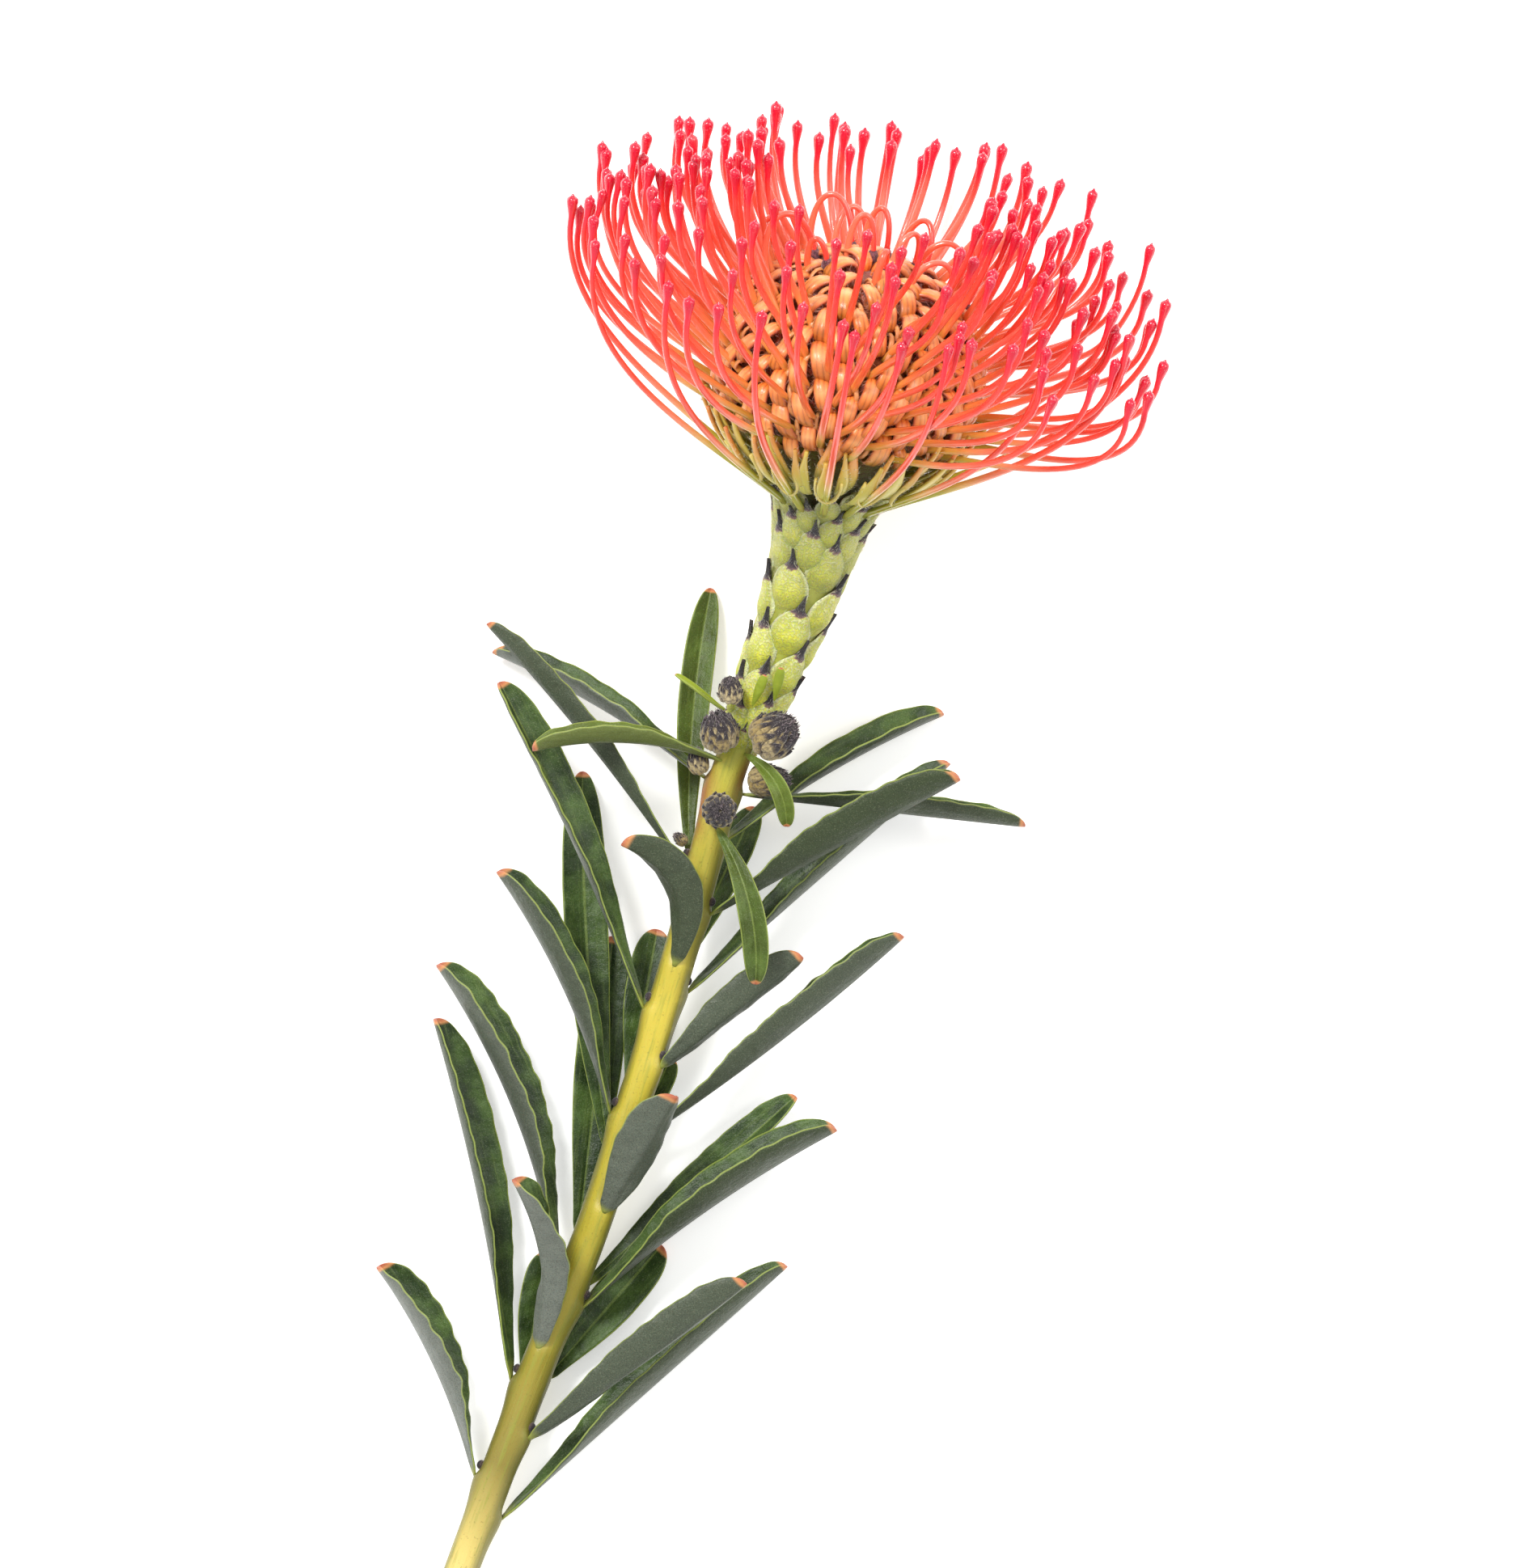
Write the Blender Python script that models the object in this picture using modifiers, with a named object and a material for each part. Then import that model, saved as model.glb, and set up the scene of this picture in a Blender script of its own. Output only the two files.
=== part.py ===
"""Cut stem of a pincushion protea (Leucospermum) with one open flower head, lying on its back.

Units are metres with +Z up.  The stem lies along +Y, leaning to +X, with the flower head at the far
end.  The lengths below are in millimetres and the angles in degrees: MM and math.radians turn them.
The cut end, the undermost leaves and the styles at the back of the head rest on the plane Z = 0.
"""

import math
from typing import NamedTuple

import bmesh
import bpy
import numpy as np
from mathutils import Vector

COLLECTION = "pincushion_protea"
MM = 0.001

# Stem: its plan (x, y) from the cut end to the head base, which is the plan's origin.
STEM_PLAN = (
    (-72.5, -211.5), (-55.0, -164.5), (-42.0, -131.5), (-27.5, -85.5),
    (-18.3, -51.0), (-11.2, -34.0), (-4.0, -15.5), (0.0, 0.0),
)
STEM_RADIUS = 3.15
STEM_CLIMB = 0.058  # rise per millimetre of the straight lower stem
NECK_CLIMB = 13.6  # further rise where the stem curves up to the head
NECK_CURVE = 5
PEDUNCLE_RADIUS = 6.3
PEDUNCLE_START = 176.0  # station, from the cut end, where the stem begins to thicken
SWELL_LENGTH = 12.0
FLARE_RADIUS = 8.3
FLARE_START = 206.0
FLARE_LENGTH = 12.0
STEM_STATIONS = (0, 22, 45, 68, 90, 112, 134, 154, 170, 178, 183, 188, 196, 206, 213, 218)

# Flower head: it leans to +X in plan and rises from the floor; its own axis is local +Z.
HEAD_LEAN = 10.0
HEAD_RISE = 23.0
HEAD_FOOT = -5.0  # height of the underside of the head along its own axis
HEAD_PROFILE = (
    (0.0, 49.0), (8.0, 48.0), (15.5, 44.5), (21.5, 39.0), (25.0, 32.5), (26.0, 26.0),
    (24.5, 18.5), (20.0, 11.0), (14.0, 5.0), (10.0, 0.0), (8.3, HEAD_FOOT), (0.0, HEAD_FOOT),
)

# Outer ring of styles.
STYLE_COUNT = 16
STYLE_RADIUS = 0.72
STYLE_NECK_RADIUS = 0.58  # below the pollen presenter
STYLE_FOOT = (15.0, 4.3)  # distance from the head's axis and height
STYLE_REACH = 54.5
STYLE_HEIGHT = 46.0
STYLE_BACK_HEIGHT = 6.0  # the styles at the back stand higher than those at the sides
STYLE_FRONT_DRAW = 12.0  # those at the front stand closer to the axis
STYLE_FLAT_REACH = 50.8  # the head's weight flattens its back to this distance
STYLE_STEPS = 9
STYLE_HANDLES = (0.3, 0.19, 0.5)  # Bezier handles as shares: outwards, upwards, and up to the tip
PRESENTER = ((0.0, 0.62), (0.7, 1.0), (2.0, 1.08), (3.2, 0.55))  # distance past the style, radius

# Leaves.
LEAF_THICKNESS = 0.7
LEAF_ROWS = 8
LEAF_SEAT = 0.92  # midrib above the stem's skin
LEAF_WIDEST = 0.62  # share of the length
LEAF_FOOT_WIDTH = 0.21  # share of the width
LEAF_TIP_WIDTH = 0.3
LEAF_SWELL = 1.5  # powers of the outline's rise from the foot and fall to the tip
LEAF_BLUNTNESS = 2.6
LEAF_FOLD_RISE = 2.5  # the foot is flat, and the fold is full from 1 / this share of the length
BUD_SEAT = 0.5  # lowest skin of a bud above the stem's skin
BUD_NARROWING = 0.18  # of an egg towards its tip


class Leaf(NamedTuple):
    """One leaf: where it leaves the stem, where its tip lies and how its blade is turned."""

    station: float  # along the stem from the cut end
    around: float  # round the stem from its upper side, towards +X
    heading: float  # of the tip in plan, from +Y towards +X
    reach: float  # base to tip in plan
    tip: float  # height of the tip above the floor
    bow: float  # bulge of the midrib to the right of the heading
    arch: float  # bulge of the midrib upwards
    roll: float  # of the blade about the midrib; 0 has the upper face up
    twist: float  # added to the roll from base to tip
    width: float
    fold: float  # of each half of the blade towards the upper face


LEAVES = (
    Leaf(26.0, 100.0, 48.5, 71.0, 6.0, 0.0, 0.5, 70.0, 0.0, 12.0, 50.0),
    Leaf(32.0, -90.0, -25.0, 43.0, 7.0, 2.0, 0.0, -75.0, 40.0, 12.5, 50.0),
    Leaf(42.0, 62.0, 54.0, 50.0, 19.0, 0.5, 2.0, 130.0, 0.0, 11.0, 40.0),
    Leaf(51.0, -92.0, -12.0, 68.5, 7.0, 1.2, 0.0, -60.0, 10.0, 12.0, 45.0),
    Leaf(51.5, -155.0, 10.0, 24.0, 0.5, 0.0, 0.0, -5.0, 0.0, 7.0, 12.0),
    Leaf(53.0, 140.0, 41.0, 33.0, 0.6, 0.0, 0.0, 12.0, 0.0, 9.0, 12.0),
    Leaf(58.5, -18.0, -8.0, 32.0, 20.0, 3.2, 1.0, -105.0, 50.0, 11.0, 40.0),
    Leaf(68.5, 80.0, 55.0, 57.5, 14.0, -1.8, 1.0, 75.0, 0.0, 14.0, 50.0),
    Leaf(72.0, 132.0, 48.0, 52.5, 3.5, 0.0, 0.0, 35.0, 0.0, 8.0, 30.0),
    Leaf(74.0, -98.0, -22.0, 60.0, 10.0, 3.3, 0.0, -70.0, 10.0, 13.5, 50.0),
    Leaf(79.0, -150.0, 6.5, 57.0, 0.5, 0.0, 0.0, -5.0, 0.0, 9.0, 12.0),
    Leaf(86.5, 15.0, 32.0, 25.5, 21.0, 0.0, 1.0, 165.0, -20.0, 11.5, 30.0),
    Leaf(95.5, -160.0, -4.0, 72.0, 2.2, -1.5, 0.0, -8.0, 0.0, 8.5, 15.0),
    Leaf(101.0, 150.0, 26.0, 16.0, 3.0, 0.0, 0.0, 20.0, 0.0, 6.0, 15.0),
    Leaf(102.0, 95.0, 52.5, 60.5, 11.0, 1.2, 0.0, 92.0, -15.0, 12.0, 50.0),
    Leaf(104.0, -80.0, -25.0, 49.5, 17.0, 2.2, 0.0, -75.0, 10.0, 12.0, 50.0),
    Leaf(109.0, -150.0, 10.0, 30.0, 0.6, 0.0, 0.0, 0.0, 0.0, 8.0, 12.0),
    Leaf(115.0, 45.0, 52.0, 33.5, 17.0, 0.0, 0.0, 140.0, 0.0, 9.5, 35.0),
    Leaf(124.5, -72.0, -24.0, 66.0, 15.0, 0.8, 1.0, -58.0, 35.0, 10.5, 40.0),
    Leaf(129.0, 120.0, 49.0, 65.0, 3.0, 0.0, 0.0, 65.0, 0.0, 10.5, 45.0),
    Leaf(133.0, 165.0, 25.0, 33.0, 0.6, 0.0, 0.0, 20.0, 0.0, 7.5, 15.0),
    Leaf(134.0, -5.0, -23.0, 24.5, 27.0, 7.8, 1.0, -150.0, 60.0, 10.0, 35.0),
    Leaf(144.5, 75.0, 61.5, 52.5, 25.0, 0.0, 0.0, 95.0, 0.0, 14.0, 55.0),
    Leaf(152.0, -90.0, -39.0, 57.5, 14.0, 1.0, 0.0, -97.0, 0.0, 8.5, 50.0),
    Leaf(153.0, -130.0, 4.5, 50.5, 0.5, -1.5, 0.0, 0.0, 0.0, 6.5, 25.0),
    Leaf(158.0, 130.0, 60.0, 47.0, 2.0, -1.4, -0.5, 60.0, 0.0, 9.5, 45.0),
    Leaf(161.0, 10.0, 166.0, 30.0, 20.0, -2.5, 5.0, 0.0, 0.0, 5.4, 25.0),
    Leaf(167.5, 106.0, 96.5, 53.0, 9.0, 0.0, 0.8, 84.0, 0.0, 8.5, 50.0),
    Leaf(168.5, -95.0, -59.5, 46.0, 3.0, 1.5, 0.0, -69.0, 0.0, 9.0, 50.0),
    Leaf(173.0, -28.0, -87.0, 35.0, 24.0, 2.6, 1.0, -80.0, 10.0, 8.0, 55.0),
    Leaf(175.5, 30.0, 150.0, 15.5, 21.0, -2.3, 4.0, 0.0, 0.0, 3.8, 25.0),
    Leaf(181.0, -80.0, -54.0, 11.5, 20.0, 0.0, 1.0, -60.0, 0.0, 1.8, 15.0),
    Leaf(185.0, -5.0, 22.0, 6.0, 29.0, 0.0, 0.5, 180.0, 0.0, 1.8, 15.0),
    Leaf(187.5, 24.0, 12.0, 6.0, 30.0, 0.0, 0.5, 180.0, 0.0, 1.8, 15.0),
)


class Bud(NamedTuple):
    """One side bud: an egg standing on the stem."""

    station: float
    around: float
    radius: float
    length: float  # half of the egg's long side, which points away from the stem
    lean: float  # of the long side towards the head


BUDS = {
    "side_bud_1": Bud(182.0, 33.0, 4.2, 4.7, 35.0),
    "side_bud_2": Bud(178.0, -31.0, 3.5, 4.0, 30.0),
    "side_bud_3": Bud(186.0, -36.0, 2.2, 2.7, 30.0),
    "side_bud_4": Bud(172.0, 74.0, 2.9, 4.1, 15.0),
    "side_bud_5": Bud(164.5, 4.0, 3.1, 3.3, 5.0),
    "side_bud_6": Bud(171.0, -74.0, 1.9, 2.6, 35.0),
    "axil_bud": Bud(156.6, -86.0, 1.1, 1.5, 25.0),
}


def finish(name, hex_colour, roughness):
    """A Principled material of one sRGB colour."""
    material = bpy.data.materials.new(name)
    material.use_nodes = True
    shader = material.node_tree.nodes["Principled BSDF"]
    channels = [int(hex_colour[i:i + 2], 16) / 255 for i in (0, 2, 4)]
    linear = [c / 12.92 if c <= 0.04045 else ((c + 0.055) / 1.055) ** 2.4 for c in channels]
    shader.inputs["Base Color"].default_value = (*linear, 1.0)
    shader.inputs["Roughness"].default_value = roughness
    shader.inputs["Metallic"].default_value = 0.0
    return material


def add_object(name, data, material, parent):
    """Links a new object under its parent, with its one material."""
    thing = bpy.data.objects.new(name, data)
    bpy.data.collections[COLLECTION].objects.link(thing)
    data.materials.append(material)
    thing.parent = parent
    return thing


def add_empty(name, parent=None):
    """Links an empty that carries other objects."""
    empty = bpy.data.objects.new(name, None)
    bpy.data.collections[COLLECTION].objects.link(empty)
    empty.parent = parent
    return empty


def stem_curve(steps=40):
    """Catmull-Rom curve through the stem's plan, as stations and plan points."""
    plan = np.array(STEM_PLAN)
    ends = np.vstack([2 * plan[0] - plan[1], plan, 2 * plan[-1] - plan[-2]])
    t = np.linspace(0, 1, steps, endpoint=False)[:, None]
    spans = []
    for a, b, c, d in zip(ends, ends[1:], ends[2:], ends[3:]):
        spans.append(0.5 * (2 * b + (c - a) * t + (2 * a - 5 * b + 4 * c - d) * t ** 2
                            + (3 * b - a - 3 * c + d) * t ** 3))
    points = np.vstack([*spans, plan[-1:]])
    stations = np.concatenate([[0.0], np.cumsum(np.linalg.norm(np.diff(points, axis=0), axis=1))])
    return stations, points


STATIONS, PLAN_POINTS = stem_curve()
STEM_LENGTH = STATIONS[-1]


def stem_centre(station):
    """Centre of the stem at a station, in millimetres above the floor and from the head base."""
    share = station / STEM_LENGTH
    height = STEM_RADIUS + STEM_CLIMB * station + NECK_CLIMB * share ** NECK_CURVE
    x, y = (np.interp(station, STATIONS, PLAN_POINTS[:, axis]) for axis in (0, 1))
    return Vector((x, y, height))


def stem_radius(station):
    """Radius of the stem, which thickens into the peduncle and flares under the head."""
    swell = np.clip((station - PEDUNCLE_START) / SWELL_LENGTH, 0, 1)
    flare = np.clip((station - FLARE_START) / FLARE_LENGTH, 0, 1)
    radius = STEM_RADIUS + (PEDUNCLE_RADIUS - STEM_RADIUS) * swell * swell * (3 - 2 * swell)
    return radius + (FLARE_RADIUS - PEDUNCLE_RADIUS) * flare ** 2


def stem_frame(station):
    """Centre, direction, upward side and right side of the stem at a station."""
    centre = stem_centre(station)
    along = (stem_centre(station + 1) - stem_centre(station - 1)).normalized()
    right = along.cross(Vector((0, 0, 1))).normalized()
    return centre, along, right.cross(along), right


def on_stem(station, around, seat):
    """Point at a height above the stem's skin, with the way outwards there."""
    centre, along, up, right = stem_frame(station)
    angle = math.radians(around)
    out = up * math.cos(angle) + right * math.sin(angle)
    return centre + out * (stem_radius(station) + seat), out, along


def tube(name, points, radii, sides):
    """POLY curve through points in millimetres, as thick as its radii, with filled caps."""
    curve = bpy.data.curves.new(name, "CURVE")
    curve.dimensions = "3D"
    curve.bevel_depth = MM
    curve.bevel_resolution = sides // 2 - 2
    curve.use_fill_caps = True
    spline = curve.splines.new("POLY")
    spline.points.add(len(points) - 1)
    for at, point, radius in zip(spline.points, points, radii):
        at.co = (*(Vector(point) * MM), 1)
        at.radius = radius
    return curve


def build_stem(parent):
    """Stem and peduncle, one grown piece from the plain cut to the flare under the head."""
    points = [stem_centre(station) for station in STEM_STATIONS]
    radii = [stem_radius(station) for station in STEM_STATIONS]
    add_object("stem", tube("stem", points, radii, 12), finish("stem_green", "D0C24A", 0.5), parent)


def build_head(parent):
    """Dome of curled florets, turned from its profile."""
    mesh = bpy.data.meshes.new("flower_head")
    points = [(radius * MM, 0, height * MM) for radius, height in HEAD_PROFILE]
    mesh.from_pydata(points, [(i, i + 1) for i in range(len(points) - 1)], [])
    head = add_object("flower_head", mesh, finish("floret_orange", "E39A4E", 0.6), parent)
    turn = head.modifiers.new("turn", "SCREW")
    turn.steps = turn.render_steps = 24
    turn.use_merge_vertices = True
    turn.merge_threshold = 0.00001
    turn.use_smooth_shade = True


def style_line(back, front):
    """Radius and height of a style's line: straight outwards, then bending up to its tip."""
    reach = STYLE_REACH - STYLE_FRONT_DRAW * front ** 2
    if back > 0:
        reach = min(reach, STYLE_FLAT_REACH / back)
    top = STYLE_HEIGHT + STYLE_BACK_HEIGHT * back
    foot, tip = np.array(STYLE_FOOT), np.array((reach, top))
    outwards, upwards, tipwards = STYLE_HANDLES
    first = foot + (outwards * (reach - foot[0]), upwards * (top - foot[1]))
    second = np.array((reach, foot[1] + tipwards * (top - foot[1])))
    t = np.linspace(0, 1, STYLE_STEPS)[:, None]
    return ((1 - t) ** 3 * foot + 3 * t * (1 - t) ** 2 * first
            + 3 * t ** 2 * (1 - t) * second + t ** 3 * tip)


def build_styles(parent):
    """Outer ring of styles, each ending in its pollen presenter."""
    coral = finish("style_coral", "F2503A", 0.4)
    for index in range(STYLE_COUNT):
        turn = 2 * math.pi * index / STYLE_COUNT
        back, front = max(0.0, math.cos(turn)), max(0.0, -math.cos(turn))
        line = style_line(back, front)
        way = (line[-1] - line[-2]) / np.linalg.norm(line[-1] - line[-2])
        knob = [line[-1] + way * step for step, _ in PRESENTER]
        taper = np.linspace(STYLE_RADIUS, STYLE_NECK_RADIUS, len(line) - 1)
        flat = np.vstack([line[:-1], knob])
        points = [(radius, 0.0, height) for radius, height in flat]
        radii = [*taper, *(radius for _, radius in PRESENTER)]
        style = add_object(f"style_{index + 1:02d}", tube("style", points, radii, 6), coral, parent)
        style.rotation_euler.z = math.radians(90) + turn


def blade_width(share):
    """Half width of a blade, as a share of the greatest, from its foot (0) to its tip (1)."""
    if share <= LEAF_WIDEST:
        rise = math.sin(math.pi / 2 * share / LEAF_WIDEST) ** LEAF_SWELL
        return LEAF_FOOT_WIDTH + (1 - LEAF_FOOT_WIDTH) * rise
    fall = (share - LEAF_WIDEST) / (1 - LEAF_WIDEST)
    return max(LEAF_TIP_WIDTH, math.sqrt(1 - fall ** LEAF_BLUNTNESS))


def leaf_point(leaf, rise, share, side):
    """Point of the blade in the leaf's own frame: +Y along the heading, +X right, +Z up."""
    hump = 4 * share * (1 - share)
    slope = 4 * (1 - 2 * share)
    middle = Vector((leaf.bow * hump, leaf.reach * share, rise * share + leaf.arch * hump))
    along = Vector((leaf.bow * slope, leaf.reach, rise + leaf.arch * slope)).normalized()
    right = along.cross(Vector((0, 0, 1))).normalized()
    up = right.cross(along)
    roll = math.radians(leaf.roll + leaf.twist * (share - 0.5))
    across = right * math.cos(roll) + up * math.sin(roll)
    face = up * math.cos(roll) - right * math.sin(roll)
    half = blade_width(share) * leaf.width / 2
    fold = math.radians(leaf.fold) * min(1.0, LEAF_FOLD_RISE * share)
    return middle + across * (half * side * math.cos(fold)) + face * (half * abs(side) * math.sin(fold))


def build_leaves(parent):
    """The leaves, each a warped grid with a wall, standing at its foot on the stem."""
    green = finish("leaf_green", "46673A", 0.5)
    for index, leaf in enumerate(LEAVES):
        foot, _, _ = on_stem(leaf.station, leaf.around, LEAF_SEAT)
        mesh = bpy.data.meshes.new("leaf")
        grid = bmesh.new()
        bmesh.ops.create_grid(grid, x_segments=2, y_segments=LEAF_ROWS, size=1)
        for vertex in grid.verts:
            share, side = (vertex.co.y + 1) / 2, vertex.co.x
            vertex.co = leaf_point(leaf, leaf.tip - foot.z, share, side) * MM
        grid.to_mesh(mesh)
        grid.free()
        blade = add_object(f"leaf_{index + 1:02d}", mesh, green, parent)
        blade.location = foot * MM
        blade.rotation_euler.z = -math.radians(leaf.heading)
        wall = blade.modifiers.new("wall", "SOLIDIFY")
        wall.thickness = LEAF_THICKNESS * MM
        wall.offset = 0


def build_buds(parent):
    """The woolly side buds, each an egg that leans towards the head."""
    wool = finish("bud_wool", "6E6A45", 0.8)
    for name, bud in BUDS.items():
        foot, out, along = on_stem(bud.station, bud.around, BUD_SEAT)
        lean = math.radians(bud.lean)
        axis = out * math.cos(lean) + along * math.sin(lean)
        half = math.hypot(bud.radius * math.sin(lean), bud.length * math.cos(lean))
        mesh = bpy.data.meshes.new("bud")
        egg = bmesh.new()
        bmesh.ops.create_uvsphere(egg, u_segments=10, v_segments=7, radius=1)
        for vertex in egg.verts:
            narrow = 1 - BUD_NARROWING * vertex.co.z
            vertex.co = Vector((vertex.co.x * narrow * bud.radius, vertex.co.y * narrow * bud.radius,
                                vertex.co.z * bud.length)) * MM
        egg.to_mesh(mesh)
        egg.free()
        mesh.shade_smooth()
        piece = add_object(name, mesh, wool, parent)
        piece.location = (foot + out * half) * MM
        piece.rotation_mode = "QUATERNION"
        piece.rotation_quaternion = axis.to_track_quat("Z", "Y")


def centre_on_floor(root):
    """Moves the root so that the middle of the whole flower's box is over the origin."""
    bpy.context.view_layer.update()
    depsgraph = bpy.context.evaluated_depsgraph_get()
    corners = []
    for thing in bpy.data.collections[COLLECTION].objects:
        if thing.type == "EMPTY":
            continue
        evaluated = thing.evaluated_get(depsgraph)
        mesh = evaluated.to_mesh()
        corners += [thing.matrix_world @ vertex.co for vertex in mesh.vertices]
        evaluated.to_mesh_clear()
    points = np.array(corners)
    middle = (points.min(axis=0) + points.max(axis=0)) / 2
    root.location = (-middle[0], -middle[1], -points[:, 2].min())


def main():
    """Builds the flower."""
    for thing in list(bpy.data.objects):
        bpy.data.objects.remove(thing, do_unlink=True)
    bpy.context.scene.collection.children.link(bpy.data.collections.new(COLLECTION))
    root = add_empty("flower_root")
    head = add_empty("head_root", root)
    head.location = stem_centre(STEM_LENGTH) * MM
    head.rotation_euler = (math.radians(HEAD_RISE - 90), 0, math.radians(-HEAD_LEAN))
    build_stem(root)
    build_head(head)
    build_styles(head)
    build_leaves(root)
    build_buds(root)
    centre_on_floor(root)


main()
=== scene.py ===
"""Looks of a cut stem of pincushion protea (Leucospermum) with one open flower head, lying on its back.

Lengths are in millimetres until a mesh is made.  Every piece is made of closed rolls: rings of points
carried along a line, with a pole at each end.  Where things that repeat differ a little, the sine of a
thing's number times an odd pace stands in for chance.
"""

import logging
import math
from dataclasses import dataclass
from enum import Enum

import bpy
import numpy as np
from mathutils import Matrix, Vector

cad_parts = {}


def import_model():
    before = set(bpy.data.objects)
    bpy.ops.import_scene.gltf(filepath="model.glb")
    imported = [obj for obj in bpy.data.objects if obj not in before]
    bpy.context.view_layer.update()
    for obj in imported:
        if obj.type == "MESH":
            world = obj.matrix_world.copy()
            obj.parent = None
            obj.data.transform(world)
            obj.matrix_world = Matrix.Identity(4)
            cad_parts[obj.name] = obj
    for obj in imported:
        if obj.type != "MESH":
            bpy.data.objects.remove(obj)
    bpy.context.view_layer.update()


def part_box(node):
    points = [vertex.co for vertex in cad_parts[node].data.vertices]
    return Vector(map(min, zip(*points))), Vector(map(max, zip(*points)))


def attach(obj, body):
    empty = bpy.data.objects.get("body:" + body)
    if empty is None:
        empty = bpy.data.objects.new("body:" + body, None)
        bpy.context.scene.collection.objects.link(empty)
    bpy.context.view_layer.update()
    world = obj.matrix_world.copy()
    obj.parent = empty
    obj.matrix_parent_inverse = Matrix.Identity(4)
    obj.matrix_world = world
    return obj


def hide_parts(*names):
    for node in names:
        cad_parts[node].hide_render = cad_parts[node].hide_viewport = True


LOG = logging.getLogger("protea")
MM = 0.001
BODY = "root"
GOLDEN_ANGLE = math.pi * (3 - math.sqrt(5))

Array = np.ndarray
Socket = bpy.types.NodeSocket
Material = bpy.types.Material
Stops = tuple[tuple[float, str], ...]
WHITE = (1.0, 1.0, 1.0, 1.0)


# ---------------------------------------------------------------- numbers and closed rolls


def unit(vectors: Array) -> Array:
    """The vectors divided by their lengths."""
    return vectors / np.maximum(np.linalg.norm(vectors, axis=-1, keepdims=True), 1e-9)


def mix(low: Array, high: Array, share: Array) -> Array:
    """Straight blend from low (share 0) to high (share 1)."""
    return low + (high - low) * share


def smooth(value: Array, start: float, end: float) -> Array:
    """Smooth step: 0 before start, 1 after end, and 3t² - 2t³ between them."""
    t = np.clip((value - start) / (end - start), 0, 1)
    return t * t * (3 - 2 * t)


def circle(sides: int) -> tuple[Array, Array]:
    """Cosines and sines of a full turn, without the repeated end."""
    turn = 2 * math.pi * np.arange(sides) / sides
    return np.cos(turn), np.sin(turn)


def rotation(angle: float, axis: int) -> Array:
    """Matrix of a turn by an angle in radians about X (axis 0), Y (1) or Z (2)."""
    cos, sin = math.cos(angle), math.sin(angle)
    return np.roll([[cos, -sin, 0], [sin, cos, 0], [0, 0, 1]], axis + 1, axis=(0, 1))


def stacked(x: Array, y: Array, z: Array) -> Array:
    """Vectors of three coordinates, which are broadcast together."""
    return np.stack(np.broadcast_arrays(x, y, z), axis=-1)


def ring_point(radius: Array, height: Array, azimuth: Array) -> Array:
    """Points from distances to the vertical axis, heights and azimuths in radians."""
    return stacked(radius * np.cos(azimuth), radius * np.sin(azimuth), height)


def tangent(azimuth: Array) -> Array:
    """Level unit vectors (count, 1, 3) a quarter turn on from the azimuths."""
    return stacked(-np.sin(azimuth), np.cos(azimuth), 0.0)[:, None]


def there_and_back(outer: Array, inner: Array) -> Array:
    """A thin sheet's rings: over its outer face, and back under its inner one."""
    return np.concatenate([outer, inner[:, :, ::-1]], axis=2)


def bezier(p0: Array, p1: Array, p2: Array, p3: Array, steps: int) -> Array:
    """Cubic Bezier lines, one for each row of the four point arrays.

    Args:
        p0, p1, p2, p3: the control points, each (count, 3).
        steps: points on each line.

    Returns:
        The lines, (count, steps, 3).
    """
    t = np.linspace(0, 1, steps)[None, :, None]
    a, b, c, d = (p[:, None, :] for p in (p0, p1, p2, p3))
    return (1 - t) ** 3 * a + 3 * t * (1 - t) ** 2 * b + 3 * t ** 2 * (1 - t) * c + t ** 3 * d


def sweep(lines: Array, aside: Array, across: Array, through: Array) -> Array:
    """Carries a cross-section along lines.

    A point is line + side * across + face * through, where side is the part of aside that is square to
    the line's direction, and face is direction x side.

    Args:
        lines: centre lines, (count, rings, 3).
        aside: the way of the section's first axis, broadcastable with lines.
        across, through: the section's two coordinates, broadcastable to (count, rings, sides), turning
            from the first axis to the second.

    Returns:
        Points, (count, rings, sides, 3).
    """
    way = unit(np.gradient(lines, axis=1))
    aside = np.broadcast_to(aside, lines.shape)
    side = unit(aside - way * (aside * way).sum(axis=-1, keepdims=True))
    face = np.cross(way, side)
    return lines[:, :, None] + side[:, :, None] * across[..., None] + face[:, :, None] * through[..., None]


@dataclass
class Rolls:
    """Closed rolls of one piece: points (count, rings, sides, 3), and marks that spread over that grid."""

    points: Array
    marks: dict[str, Array | float]

    def flat(self, grid: Array) -> Array:
        """Values in vertex order: all the rings, then every roll's first pole, then every last pole."""
        rings = grid.reshape(-1, *grid.shape[3:])
        return np.concatenate([rings, grid[:, 0].mean(axis=1), grid[:, -1].mean(axis=1)])

    def faces(self) -> tuple[Array, Array]:
        """Joins neighbours by index.

        Returns:
            The quads between the rings, and the triangles from each end ring to its pole.
        """
        count, rings, sides = self.points.shape[:3]
        index = np.arange(count * rings * sides).reshape(count, rings, sides)
        turned = np.roll(index, -1, axis=2)
        quads = np.stack([index[:, :-1], turned[:, :-1], turned[:, 1:], index[:, 1:]], axis=-1)
        first = np.broadcast_to(index.size + np.arange(count)[:, None], (count, sides))
        start = np.stack([first, turned[:, 0], index[:, 0]], axis=-1)
        end = np.stack([first + count, index[:, -1], turned[:, -1]], axis=-1)
        return quads.reshape(-1, 4), np.concatenate([start.reshape(-1, 3), end.reshape(-1, 3)])


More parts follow.
